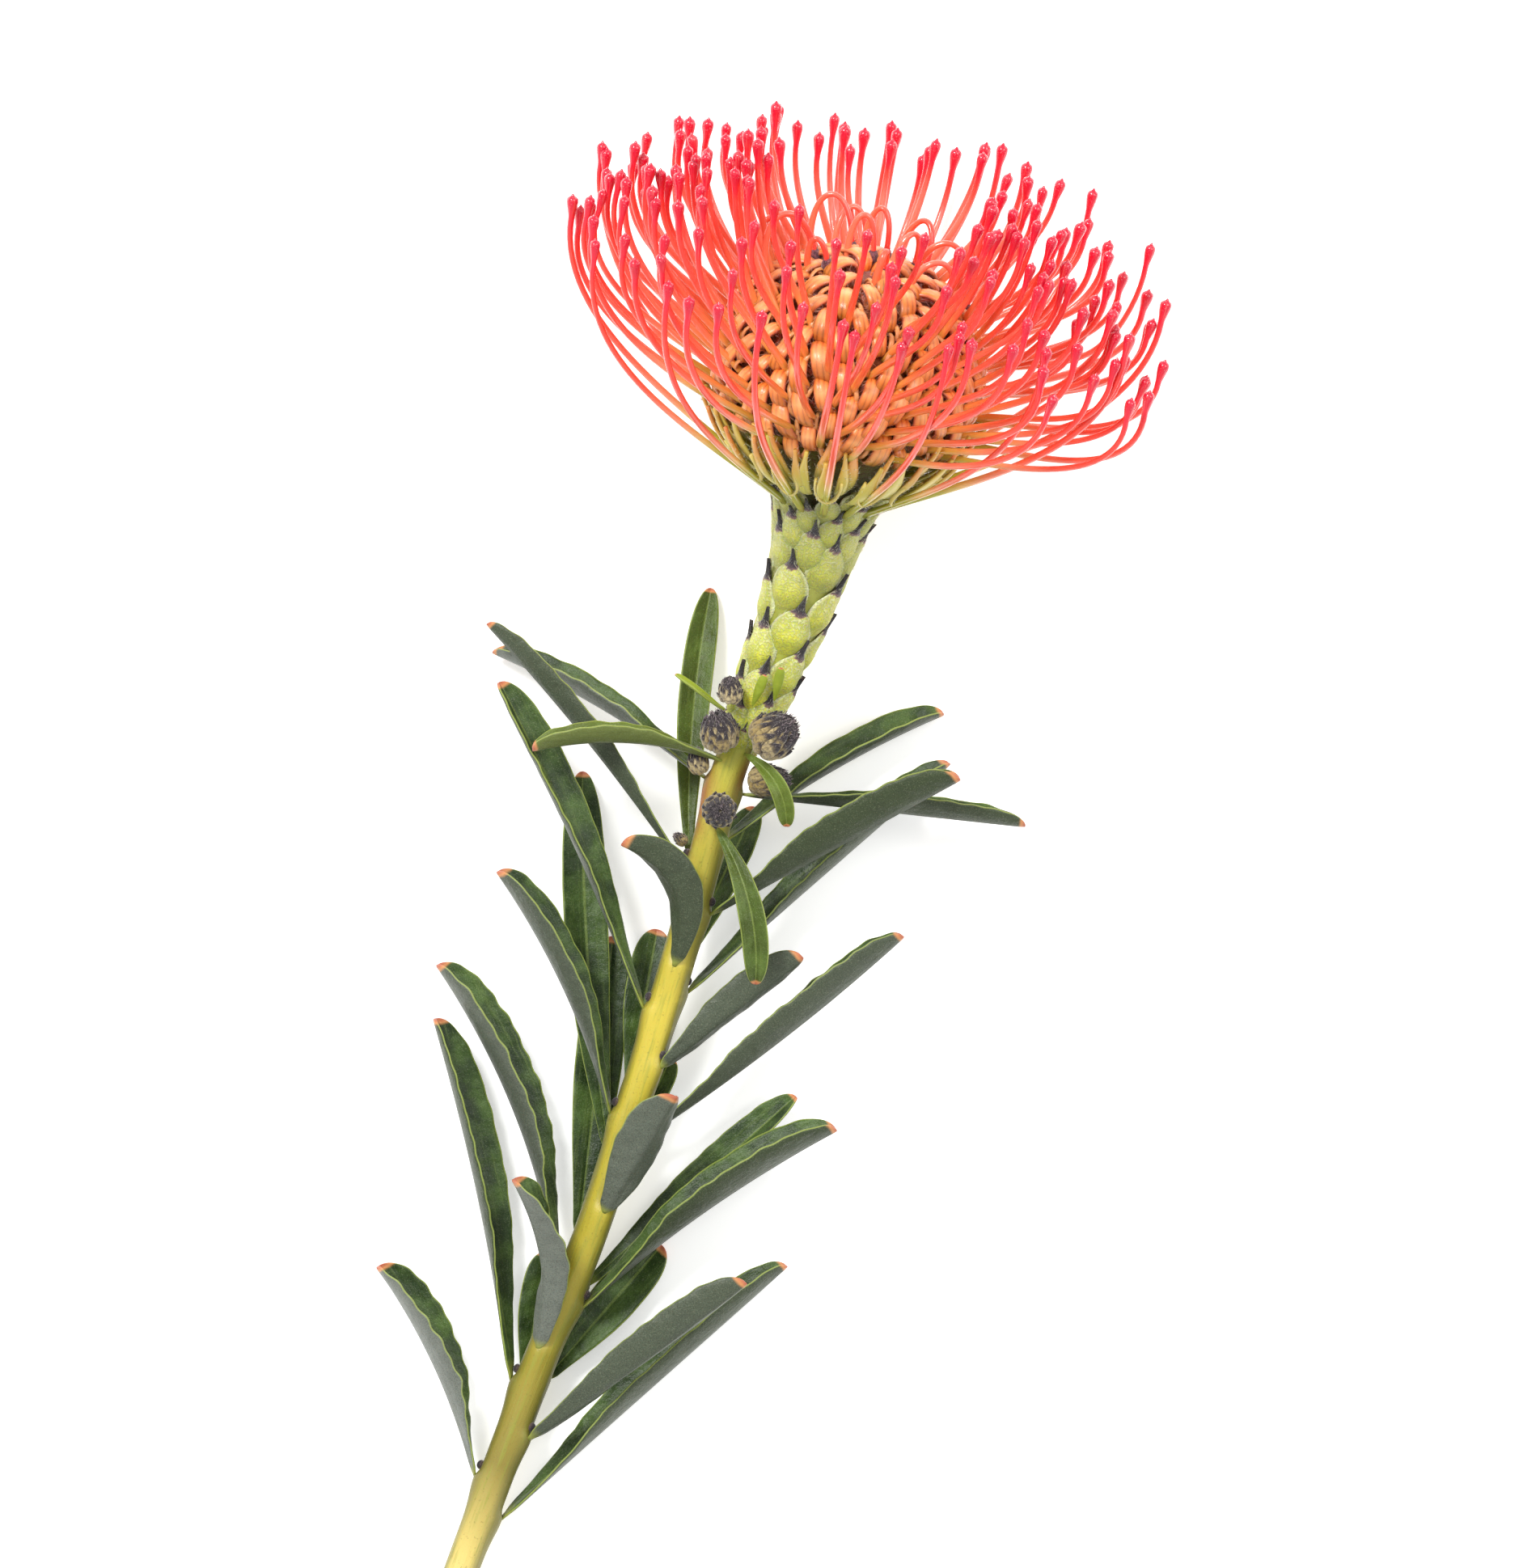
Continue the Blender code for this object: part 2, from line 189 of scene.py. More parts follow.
def spikes(feet: Array, ways: Array, droop: Array, length: Array, thick: float) -> Rolls:
    """Hairs: three-sided tapering rolls, straight from foot to foot + (way + droop) * length.

    Args:
        feet: where they stand, (count, 3).
        ways: unit vectors that they leave along, (count, 3).
        droop: vectors added to the way at the tip, (count, 3).
        length: their lengths, (count,).
        thick: radius at the foot.

    Returns:
        The rolls, with the mark "share" from foot to tip.
    """
    share = np.array([0.0, 1.0])[None, :, None]
    lines = feet[:, None] + (ways + droop)[:, None] * share * length[:, None, None]
    taper = thick * mix(1.0, 0.3, share)
    cos, sin = circle(3)
    aside = np.cross(ways, unit(droop + 0.3) + 0.1)[:, None]
    return Rolls(sweep(lines, aside, taper * cos, taper * sin), {"share": share})


# ---------------------------------------------------------------- finishes


def linear(hex_colour: str) -> tuple[float, ...]:
    """Linear colour of an sRGB hex value."""
    channels = [int(hex_colour[i:i + 2], 16) / 255 for i in (1, 3, 5)]
    return (*(c / 12.92 if c <= 0.04045 else ((c + 0.055) / 1.055) ** 2.4 for c in channels), 1.0)


class Paint:
    """One Principled material, painted in washes from its ground up.

    A term of a wash is a mark's name, an output socket, or (term, start, end), which is smoothed from 0 at
    the start to 1 at the end.
    """

    def __init__(self, name: str, roughness: float, **sockets: float | tuple) -> None:
        """Starts the material with constants on the shader's own sockets.

        Args:
            name: the material's name.
            roughness: 0 for a mirror to 1 for chalk.
            sockets: values by the socket's name, in small letters with underscores.
        """
        self.material = bpy.data.materials.new(name)
        self.material.use_nodes = True
        self.tree = self.material.node_tree
        self.shader = self.tree.nodes["Principled BSDF"]
        for socket, value in {"roughness": roughness, **sockets}.items():
            self.shader.inputs[socket.replace("_", " ").title().replace("Ior", "IOR")].default_value = value

    def add(self, kind: str, inputs: dict, out: int | str = 0, stops: Stops = (),
            **settings: object) -> Socket:
        """Adds a node with its settings, values, links and colour stops.

        Args:
            kind: the node's type, without the prefix ShaderNode.
            inputs: by name or number, each a value, an output socket, a hex colour or a mark's name.
            out: the output to give, by name or number.
            stops: places and hex colours along a ramp.
            settings: the node's own properties.

        Returns:
            The output socket.
        """
        node = self.tree.nodes.new("ShaderNode" + kind)
        for name, value in settings.items():
            setattr(node, name, value)
        for name, value in inputs.items():
            if isinstance(value, str):
                mark = {"kind": "Attribute", "inputs": {}, "out": "Fac", "attribute_name": value}
                value = linear(value) if value[0] == "#" else self.add(**mark)
            if isinstance(value, Socket):
                self.tree.links.new(value, node.inputs[name])
            else:
                node.inputs[name].default_value = value
        for index, (at, colour) in enumerate(stops):
            ramp = node.color_ramp.elements
            stop = ramp[index] if index < 2 else ramp.new(at)
            stop.position, stop.color = at, linear(colour)
        return node.outputs[out]

    def pattern(self, grain: float, detail: float = 3.0, along: float | None = None) -> Socket:
        """Noise of about 0.3 to 0.7 with blotches a grain apart.

        Args:
            grain: their spacing in millimetres.
            detail: finer layers.
            along: for streaks, their width as a share of their length; they follow the mark "grain".

        Returns:
            The noise.
        """
        if along is None:
            place = self.add("TexCoord", {}, "Object")
            scale, squeeze = 1 / (grain * MM), (1, 1, 1)
        else:
            place = self.add("Attribute", {}, "Vector", attribute_name="grain")
            scale, squeeze = 1 / grain, (1, 1, along)
        place = self.add("Mapping", {"Vector": place, "Scale": squeeze})
        return self.add("TexNoise", {"Vector": place, "Scale": scale, "Detail": detail})

    def mask(self, *terms: str | Socket | tuple, strength: float = 1.0) -> Socket:
        """Product of terms.

        Args:
            terms: what to multiply.
            strength: a last factor.

        Returns:
            The product.
        """
        edges = ("Value", "From Min", "From Max")
        share, *rest = (self.add("MapRange", dict(zip(edges, term)), interpolation_type="SMOOTHSTEP")
                        if isinstance(term, tuple) else term for term in terms)
        for factor in rest + ([strength] if strength < 1 else []):
            share = self.add("Math", {0: share, 1: factor}, operation="MULTIPLY")
        return share

    def wash(self, ground: str | Socket, over: str | Socket, *terms: str | Socket | tuple,
             strength: float = 1.0) -> Socket:
        """A colour laid over the ground, as strong as the product of its terms."""
        return self.add("Mix", {6: ground, 7: over, 0: self.mask(*terms, strength=strength)}, 2,
                        data_type="RGBA", clamp_factor=True)

    def done(self, colour: Socket, *reliefs: tuple[Socket, float], gloss: Socket | None = None) -> Material:
        """Links what was painted to the shader.

        Args:
            colour: the last wash.
            reliefs: heights and their depths in millimetres, each on the one before.
            gloss: the roughness, where it varies.

        Returns:
            The material.
        """
        normal = None
        for height, depth in reliefs:
            under = {"Normal": normal} if normal else {}
            normal = self.add("Bump", {"Height": height, "Distance": depth * MM, **under})
        for name, socket in {"Base Color": colour, "Normal": normal, "Roughness": gloss}.items():
            if socket:
                self.tree.links.new(socket, self.shader.inputs[name])
        return self.material


@dataclass(frozen=True)
class StemSkin:
    """Living skin of a young stem: waxy yellow-green, streaked along its length, with a reddish blush, and
    painted shade darkening its two sides.
    """

    along: Stops = (
        (0.0, "#F0DC94"), (0.08, "#DCC670"), (0.16, "#8C7E32"), (0.3, "#A6982F"), (0.42, "#BFAF34"),
        (0.56, "#CCB940"), (0.66, "#B8AA3C"), (0.74, "#C4B646"), (0.8, "#A9B03A"), (1.0, "#8C8B44"),
    )
    cut: Stops = ((0.0, "#B5B04A"), (0.08, "#9C9A4A"), (0.3, "#E9E2B0"), (1.0, "#D9CF92"))
    # Painted shade: a darker olive laid on the stem's two sides.
    flank: str = "#5E5F22"
    blush: str = "#B0683C"
    streak: str = "#8F9636"
    speck: str = "#7A6A2C"

    def material(self) -> Material:
        """Skin by the marks station, flank (painted shade on the stem's two sides), blush and cut.

        Returns:
            The material.
        """
        # A thin wax over soft living tissue: a satin gloss, with a little light coming through.
        paint = Paint("stem_living_skin", 0.42, subsurface_weight=0.1, subsurface_scale=1.5 * MM,
                      sheen_weight=0.15, sheen_roughness=0.4)
        streaks, blotch = paint.pattern(0.55, 4, 0.07), paint.pattern(4.0)
        colour = paint.add("ValToRGB", {"Fac": "station"}, stops=self.along)
        colour = paint.wash(colour, self.streak, (streaks, 0.48, 0.72), strength=0.55)
        # Painted shade on the stem's sides, broken up by blotches.
        colour = paint.wash(colour, self.flank, "flank", (blotch, 0.0, 0.45))
        colour = paint.wash(colour, self.blush, "blush", (blotch, 0.3, 0.6))
        colour = paint.wash(colour, self.speck, (paint.pattern(0.5, 2), 0.62, 0.72), strength=0.4)
        face = paint.add("ValToRGB", {"Fac": "cut"}, stops=self.cut)
        colour = paint.wash(colour, face, ("cut", 0.01, 0.03))
        return paint.done(colour, (streaks, 0.12), (paint.pattern(0.3), 0.05))


@dataclass(frozen=True)
class LeafSkin:
    """Leathery leaf: satin green above with a paler midrib, felted grey-green below, callus at the tip."""

    upper: tuple[str, str] = ("#22370F", "#557030")
    vein: str = "#6C7F40"
    midrib: str = "#7F9149"
    under: tuple[str, str] = ("#303D1A", "#232F12")
    felt: str = "#70756C"
    pores: str = "#1F2914"
    bloom: str = "#8E9678"
    young: str = "#98A82C"
    margin: str = "#9CAB52"
    foot: str = "#9AA045"
    callus: tuple[str, str] = ("#D2935C", "#B5654A")

    def material(self) -> Material:
        """Blade by the marks upper, side, share, felt, young and tip.

        Returns:
            The material.
        """
        # A thick cuticle over close down: a broad dull gloss that never mirrors, and a fine pale grain.
        paint = Paint("leaf_leathery_blade", 0.45, sheen_weight=0.05, sheen_roughness=0.45,
                      specular_ior_level=0.34, subsurface_weight=0.05, subsurface_scale=0.6 * MM)
        # The down's hairs stand 0.02 mm apart; its grain is drawn ten times coarser, to show at all.
        broad, fine, veins = paint.pattern(6.0), paint.pattern(0.22, 2), paint.pattern(0.7, 3, 0.05)
        aside = paint.add("Math", {0: "side"}, operation="ABSOLUTE")
        face = paint.wash(*self.upper, (broad, 0.35, 0.7), strength=0.75)
        face = paint.wash(face, self.vein, (veins, 0.5, 0.75), strength=0.35)
        face = paint.wash(face, self.midrib, (aside, 0.09, 0.03), strength=0.55)
        back = paint.wash(*self.under, (broad, 0.45, 0.7), strength=0.45)
        back = paint.wash(back, self.felt, "felt")
        colour = paint.wash(back, face, "upper")
        colour = paint.wash(colour, self.pores, (fine, 0.5, 0.35), strength=0.35)
        colour = paint.wash(colour, self.bloom, (fine, 0.56, 0.7), strength=0.25)
        colour = paint.wash(colour, self.young, "young")
        colour = paint.wash(colour, self.margin, (aside, 0.95, 0.99), strength=0.7)
        colour = paint.wash(colour, self.foot, ("share", 0.07, 0.0))
        ragged = paint.mask((broad, 0.3, 0.7), strength=0.5)
        ends = paint.add("Math", {0: "tip", 1: ragged}, operation="ADD")
        colour = paint.wash(colour, paint.wash(*self.callus, (ends, 1.4, 0.3)), (ends, 1.7, 1.0))
        gloss = paint.add("MapRange", {"Value": broad, "To Min": 0.3, "To Max": 0.5})
        return paint.done(colour, (fine, 0.07), (veins, 0.1), (paint.pattern(2.6), 0.45), gloss=gloss)


@dataclass(frozen=True)
class StyleWax:
    """Style: a smooth waxy stalk, translucent coral, orange at its foot and crimson at its glossy tip."""

    high: Stops = (
        (0.0, "#B8A040"), (0.04, "#EBA94A"), (0.13, "#F79C50"), (0.3, "#F8744A"), (0.55, "#F5533C"),
    )
    low: Stops = (
        (0.0, "#9C9E34"), (0.2, "#B9B340"), (0.27, "#E6BE72"), (0.35, "#F89874"), (0.5, "#F65C44"),
    )
    tip: Stops = ((0.86, "#EF3C36"), (0.925, "#EA1E3A"), (1.0, "#C80A34"))
    # Paler coral: random tone, and painted backlight on the side of the head that faces the floor.
    pale: str = "#F68E78"
    streak: str = "#FFB092"
    # Painted highlight: pale pink flecks near the tip.
    painted_tip_highlight: str = "#FFA8B4"

    def material(self) -> Material:
        """Wax by the marks share, low (1 for the lowest styles) and tone (random, and raised on the side of
        the head that faces the floor as painted backlight).

        Returns:
            The material.
        """
        # Smooth waxy skin over translucent flesh: sharp small lights, and red glowing out of its depth.
        paint = Paint("style_translucent_wax", 0.2, subsurface_weight=0.4, subsurface_scale=1.4 * MM,
                      subsurface_radius=(1.0, 0.32, 0.22), coat_weight=0.6, coat_roughness=0.07)
        high, low = (paint.add("ValToRGB", {"Fac": "share"}, stops=row + self.tip)
                     for row in (self.high, self.low))
        streaks = paint.pattern(0.5, 3, 0.06)
        # Painted highlight: pale pink flecks of 0.35 mm near the tip, which the bump also raises a little.
        painted_highlight_flecks = paint.mask(("share", 0.955, 0.98), (paint.pattern(0.35, 2), 0.58, 0.66))
        colour = paint.wash(high, low, "low")
        # Paler stalks by the tone mark: partly at random, and partly painted backlight on the side of the
        # head that faces the floor.
        colour = paint.wash(colour, self.pale, ("share", 0.9, 0.6), "tone", strength=0.6)
        colour = paint.wash(colour, self.streak, (streaks, 0.55, 0.8), strength=0.28)
        colour = paint.wash(colour, self.painted_tip_highlight, painted_highlight_flecks, strength=0.25)
        return paint.done(colour, (streaks, 0.03), (painted_highlight_flecks, 0.06))


@dataclass(frozen=True)
class FloretSkin:
    """Perianth ribbon: thin petal-like strap, ribbed along its length, orange-tan with reddish edges, with
    painted light, shade and highlights on its ribs and curl.
    """

    # Ramps from rib groove to ridge, with painted shade in the grooves and a painted highlight on the ridges:
    # the first is the lit copy, the second the shaded copy.
    painted_lit_ribs: Stops = ((0.0, "#B4561C"), (0.28, "#EC7620"), (1.0, "#F8943A"))
    plain: Stops = ((0.0, "#7A3614"), (0.4, "#A84C18"), (1.0, "#C4621E"))
    mottle: str = "#DA6C2C"
    pink: str = "#EC7048"
    edge: str = "#D27258"
    young: tuple[str, str] = ("#A69E2A", "#CEC252")
    light: str = "#FFE0A0"
    end: str = "#A85A4A"

    def material(self) -> Material:
        """Ribbon by the marks rib, lit (painted light and shade), tone, edge, low (1 where it is still green,
        and painted olive shade on the bottom of a curl), crest (a painted highlight) and share.

        Returns:
            The material.
        """
        # Thin petal with raised veins: light glows through it, and the veins carry a soft satin light.
        paint = Paint("floret_ribbed_petal", 0.32, subsurface_weight=0.15, subsurface_scale=1.0 * MM,
                      subsurface_radius=(1.0, 0.5, 0.25), sheen_weight=0.08, sheen_roughness=0.4,
                      coat_weight=0.3, coat_roughness=0.18)
        # The lit mark blends the shaded copy into the lit copy: painted light on the top of each curl,
        # painted shade on its bottom.
        plain, painted_lit_ribs = (paint.add("ValToRGB", {"Fac": "rib"}, stops=row)
                         for row in (self.plain, self.painted_lit_ribs))
        colour = paint.wash(plain, painted_lit_ribs, "lit")
        colour = paint.wash(colour, self.mottle, (paint.pattern(1.6), 0.48, 0.68), strength=0.4)
        colour = paint.wash(colour, self.pink, "tone", strength=0.22)
        colour = paint.wash(colour, self.edge, "edge", strength=0.6)
        # Young green on the lowest florets, darker in the rib grooves as painted shade; the low mark also
        # lays it on the bottom of every curl as painted shade.
        colour = paint.wash(colour, paint.wash(*self.young, ("rib", 0.2, 0.9)), "low")
        # Painted highlight where the ribbon turns over at its top.
        colour = paint.wash(colour, self.light, "crest", strength=0.5)
        colour = paint.wash(colour, self.end, ("share", 0.74, 0.92))
        return paint.done(colour, (paint.pattern(0.25), 0.06))


@dataclass(frozen=True)
class CoreSkin:
    """Core between the florets: felted, olive at its foot, orange-brown above and maroon at the very top."""

    stops: Stops = (
        (0.0, "#727428"), (0.36, "#88822C"), (0.48, "#96521E"), (0.85, "#984C26"), (1.0, "#8A443A"),
    )
    matted: str = "#7A4420"

    def material(self) -> Material:
        """Felt by the mark share, from the foot of the head to its top.

        Returns:
            The material.
        """
        # Close short felt: no gloss at all, only a faint pale edge where the hairs stand up.
        paint = Paint("core_dark_felt", 0.8, sheen_weight=0.3)
        colour = paint.add("ValToRGB", {"Fac": "share"}, stops=self.stops)
        colour = paint.wash(colour, self.matted, (paint.pattern(1.0, 4), 0.45, 0.65), strength=0.55)
        return paint.done(colour, (paint.pattern(0.4, 4), 0.3))


@dataclass(frozen=True)
class ClubSkin:
    """Held tips of the arches: dark maroon felt, with a paler bloom in blotches."""

    felt: tuple[str, str] = ("#4A2430", "#7A4850")

    def material(self) -> Material:
        """Plush on Object coordinates alone."""
        # Dense dark plush: it swallows light, with a mauve bloom on the hair ends.
        paint = Paint("club_maroon_plush", 0.85, sheen_weight=0.5)
        return paint.done(paint.wash(*self.felt, (paint.pattern(0.5), 0.42, 0.62)), (paint.pattern(0.3), 0.2))


@dataclass(frozen=True)
class BractSkin:
    """Neck bract: plump lime scale, smooth at its foot and frosted with down above, with a dark dry awl."""

    body: tuple[str, str] = ("#DEDD22", "#E2E26A")
    deep: str = "#A3AE30"
    blotch: str = "#9AA82C"
    frost: str = "#E6E6AE"
    shade: str = "#868B36"
    grey: str = "#7E7E4C"
    rim: str = "#EDECBE"
    awl: Stops = (
        (0.0, "#A08C66"), (0.3, "#80605A"), (0.55, "#4E3C42"), (0.8, "#2B2328"), (1.0, "#1B1719"),
    )

    def material(self) -> Material:
        """Scale by the marks frost, tone, shade, high (1 at the head), edge and dry.

        Returns:
            The material.
        """
        # Fleshy scale under short silky down: soft light through it, and a frosting where the down is thick.
        paint = Paint("bract_downy_scale", 0.55, subsurface_weight=0.2, subsurface_scale=1.5 * MM,
                      sheen_weight=0.3, sheen_roughness=0.45)
        # The down's hairs stand 0.05 mm apart; the frosting is drawn in flecks of 0.4 mm, to show.
        down = paint.mask((paint.pattern(0.42, 4), 0.44, 0.6))
        colour = paint.wash(*self.body, "frost")
        colour = paint.wash(colour, self.deep, "tone", strength=0.35)
        colour = paint.wash(colour, self.blotch, (paint.pattern(2.2), 0.4, 0.65), strength=0.4)
        colour = paint.wash(colour, self.frost, "frost", down, strength=0.7)
        colour = paint.wash(colour, self.shade, "shade", strength=0.46)
        colour = paint.wash(colour, self.grey, "high", strength=0.38)
        colour = paint.wash(colour, self.rim, "edge", strength=0.9)
        fuzz = paint.add("Math", {0: down, 1: -0.1}, operation="MULTIPLY")
        worn = paint.add("Math", {0: "dry", 1: fuzz}, operation="ADD")
        colour = paint.wash(colour, paint.add("ValToRGB", {"Fac": worn}, stops=self.awl), (worn, 0.06, 0.34))
        return paint.done(colour, (down, 0.14))


@dataclass(frozen=True)
class BudWool:
    """Side bud: tight olive scales under grey wool, running into blackish-maroon points at its top."""

    scale: tuple[str, str] = ("#9C854A", "#CDBB8E")
    dark: str = "#3C3024"
    margin: str = "#3A282E"
    point: str = "#241A20"
    pale_hair_glints: str = "#CFC3B4"

    def material(self) -> Material:
        """Wool by the marks tone, edge, share and height.

        Returns:
            The material.
        """
        # Matted wool over papery scales: rough and dry, with fine pale flecks that are grey hairs in part and
        # a painted highlight in part.
        paint = Paint("bud_woolly_scale", 0.75, sheen_weight=0.35)
        fine = paint.pattern(0.25)
        reach = paint.add("Math", {0: "share", 1: "height"}, operation="ADD")
        worn = [paint.mask(mark, strength=part) for mark, part in (("share", 0.6), ("height", 0.8))]
        worn = paint.add("Math", dict(enumerate(worn)), operation="ADD")
        colour = paint.wash(*self.scale, "tone")
        colour = paint.wash(colour, self.dark, (paint.pattern(0.6, 4), 0.45, 0.62), strength=0.6)
        colour = paint.wash(colour, self.margin, "edge", (reach, 0.2, 0.8), strength=0.9)
        colour = paint.wash(colour, self.point, (worn, 0.68, 0.98))
        # Fine pale flecks: grey hairs, and a painted highlight on them.
        colour = paint.wash(colour, self.pale_hair_glints, (fine, 0.58, 0.7), strength=0.28)
        return paint.done(colour, (fine, 0.12))


class Hair(Enum):
    """Colours of the hairs, at the foot and at the tip."""

    DOWN = ("#D9D8AE", "#F0ECD2")
    FLORET = ("#C4704E", "#F2C4A4")
    DARK = ("#8E4A48", "#DCAAA2")
    TUFT = ("#1C1418", "#8C7C80")
    WOOL = ("#8E8468", "#D2C8B4")

    def material(self) -> Material:
        """Silky hair by the mark share."""
        # Silky plant hair: thin enough that it only lightens and softens the edges it stands on.
        paint = Paint(f"hair_{self.name.lower()}", 0.6, sheen_weight=0.3)
        return paint.done(paint.wash(*self.value, "share"))


# ---------------------------------------------------------------- pieces


def add_piece(name: str, rolls: Rolls, material: Material, nodes: tuple[str, ...] = ()) -> None:
    """Makes one piece of closed rolls, riding on the body.

    Args:
        name: the piece's name.
        rolls: its rolls, in millimetres, where they stand.
        material: its finish.
        nodes: the CAD nodes that it stands for.
    """
    points = rolls.flat(rolls.points) * MM
    quads, triangles = rolls.faces()
    corners = np.concatenate([quads.ravel(), triangles.ravel()])
    starts = np.concatenate([4 * np.arange(len(quads)), quads.size + 3 * np.arange(len(triangles))])
    mesh = bpy.data.meshes.new(name)
    mesh.vertices.add(len(points))
    mesh.vertices.foreach_set("co", points.astype(np.float32).ravel())
    mesh.loops.add(len(corners))
    mesh.loops.foreach_set("vertex_index", corners.astype(np.int32))
    mesh.polygons.add(len(starts))
    mesh.polygons.foreach_set("loop_start", starts.astype(np.int32))
    mesh.update(calc_edges=True)
    for mark, values in rolls.marks.items():
        kind, key = ("FLOAT_VECTOR", "vector") if np.ndim(values) == 4 else ("FLOAT", "value")
        full = rolls.flat(np.broadcast_to(values, rolls.points.shape[:3] + np.shape(values)[3:]))
        mesh.attributes.new(mark, kind, "POINT").data.foreach_set(key, full.astype(np.float32).ravel())
    mesh.shade_smooth()
    mesh.materials.append(material)
    piece = bpy.data.objects.new(name, mesh)
    bpy.context.scene.collection.objects.link(piece)
    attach(piece, BODY)
    if nodes:
        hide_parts(*nodes)
    LOG.info("%s: %d faces", name, len(starts))


# ---------------------------------------------------------------- where things stand


@dataclass
class Head:
    """The head's own frame: +Z is its axis, +Y its underside, and its base is where the stem ends."""

    lean: float = 10.0
    rise: float = 23.0
    profile: tuple[tuple[float, float], ...] = (
        (0.0, 49.0), (8.0, 48.0), (15.5, 44.5), (21.5, 39.0), (25.0, 32.5), (26.0, 26.0),
        (24.5, 18.5), (20.0, 11.0), (14.0, 5.0), (10.0, 0.0), (8.3, -5.0), (0.0, -5.0),
    )
    turned_steps: int = 24

    def __post_init__(self) -> None:
        """Finds the base: the turned profile's lowest corner is the CAD dome's."""
        self.turn = rotation(math.radians(-self.lean), 2) @ rotation(math.radians(self.rise - 90), 0)
        azimuth = 2 * math.pi * np.arange(self.turned_steps) / self.turned_steps
        radius, height = np.array(self.profile).T[..., None]
        low = self.ways(ring_point(radius, height, azimuth)).reshape(-1, 3).min(axis=0)
        self.base = np.array(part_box("flower_head")[0]) / MM - low

    def world(self, points: Array) -> Array:
        """Points of the head's frame in the whole flower's frame."""
        return points @ self.turn.T + self.base

    def ways(self, vectors: Array) -> Array:
        """Directions of the head's frame in the whole flower's frame."""
        return vectors @ self.turn.T


@dataclass
class StemLine:
    """The stem's line: a Catmull-Rom plan that climbs to the head, then the head's own axis."""

    head: Head
    plan: tuple[tuple[float, float], ...] = (
        (-72.5, -211.5), (-55.0, -164.5), (-42.0, -131.5), (-27.5, -85.5),
        (-18.3, -51.0), (-11.2, -34.0), (-4.0, -15.5), (0.0, 0.0),
    )
    steps: int = 40
    radius: float = 3.15
    climb: float = 0.058
    neck_climb: float = 13.6
    neck_curve: int = 5
    swell: tuple[float, float] = (176.0, 188.0)
    neck_radius: float = 6.3
    flare: tuple[float, float] = (206.0, 218.0)
    flare_radius: float = 8.3
    neck_stations: tuple[float, ...] = (0, 176, 179, 182, 185, 188, 197, 207, 214, 220, 225, 230, 236)
    neck_radii: tuple[float, ...] = (3.15, 3.15, 3.4, 3.9, 4.4, 4.75, 5.3, 6.2, 6.9, 8.0, 9.7, 13.6, 19.5)

    def __post_init__(self) -> None:
        """Works out the plan's points and their stations from the cut end."""
        plan = np.array(self.plan)
        ends = np.vstack([2 * plan[0] - plan[1], plan, 2 * plan[-1] - plan[-2]])
        a, b, c, d = (ends[i:len(ends) - 3 + i, None] for i in range(4))
        t = np.linspace(0, 1, self.steps, endpoint=False)[None, :, None]
        spans = 0.5 * (2 * b + (c - a) * t + (2 * a - 5 * b + 4 * c - d) * t ** 2
                       + (3 * b - a - 3 * c + d) * t ** 3)
        self.points = np.vstack([spans.reshape(-1, 2), plan[-1:]])
        self.stations = np.append(0.0, np.cumsum(np.linalg.norm(np.diff(self.points, axis=0), axis=1)))
        self.length = self.stations[-1]
        self.shift = self.head.base - np.array([0, 0, self.height(self.length)])

    def height(self, station: Array) -> Array:
        """Height of the centre: radius + climb * station + neck climb * share to the neck curve's power."""
        share = station / self.length
        return self.radius + self.climb * station + self.neck_climb * share ** self.neck_curve

    def centre(self, station: Array) -> Array:
        """Centre of the stem, which goes on along the head's axis past its end.

        Args:
            station: distances from the cut end, of any shape.

        Returns:
            Points, with a last axis of 3.
        """
        inside = np.minimum(station, self.length)
        x, y = (np.interp(inside, self.stations, self.points[:, axis]) for axis in (0, 1))
        beyond = (station - inside)[..., None] * self.head.turn[:, 2]
        return stacked(x, y, self.height(inside)) + self.shift + beyond

    def thickness(self, station: Array) -> Array:
        """Radius of the stem, plus a smooth swell to its neck's, plus a square curve to its flare's.

        Args:
            station: distances from the cut end.

        Returns:
            Radii of the CAD stem.
        """
        start, end = self.flare
        flare = np.clip((station - start) / (end - start), 0, 1) ** 2
        neck = mix(self.radius, self.neck_radius, smooth(station, *self.swell))
        return neck + (self.flare_radius - self.neck_radius) * flare

    def outward(self, station: Array, around: Array) -> Array:
        """Unit vectors out of the stem: up * cos + right * sin of the angle from its upper side.

        Args:
            station: distances from the cut end.
            around: angles in radians, broadcastable with them.

        Returns:
            Vectors, with a last axis of 3.
        """
        along = self.along(station)
        right = unit(np.cross(along, [0.0, 0.0, 1.0]))
        around = np.asarray(around)[..., None]
        return np.cross(right, along) * np.cos(around) + right * np.sin(around)

    def along(self, station: Array) -> Array:
        """Unit vectors along the stem, from 1 mm before a station to 1 mm past it."""
        return unit(self.centre(station + 1.0) - self.centre(station - 1.0))

    def off(self, station: Array, around: Array, reach: Array) -> Array:
        """Points off the centre line.

        Args:
            station: distances from the cut end.
            around: angles in radians from the upper side.
            reach: distances from the centre, broadcastable with the others.

        Returns:
            Points, with a last axis of 3.
        """
        station, around, reach = np.broadcast_arrays(station, around, reach)
        return self.centre(station) + self.outward(station, around) * reach[..., None]

    def skin(self, station: Array, around: Array, lift: Array) -> Array:
        """Points that lie lift millimetres outside the stem's surface."""
        return self.off(station, around, self.thickness(station) + lift)

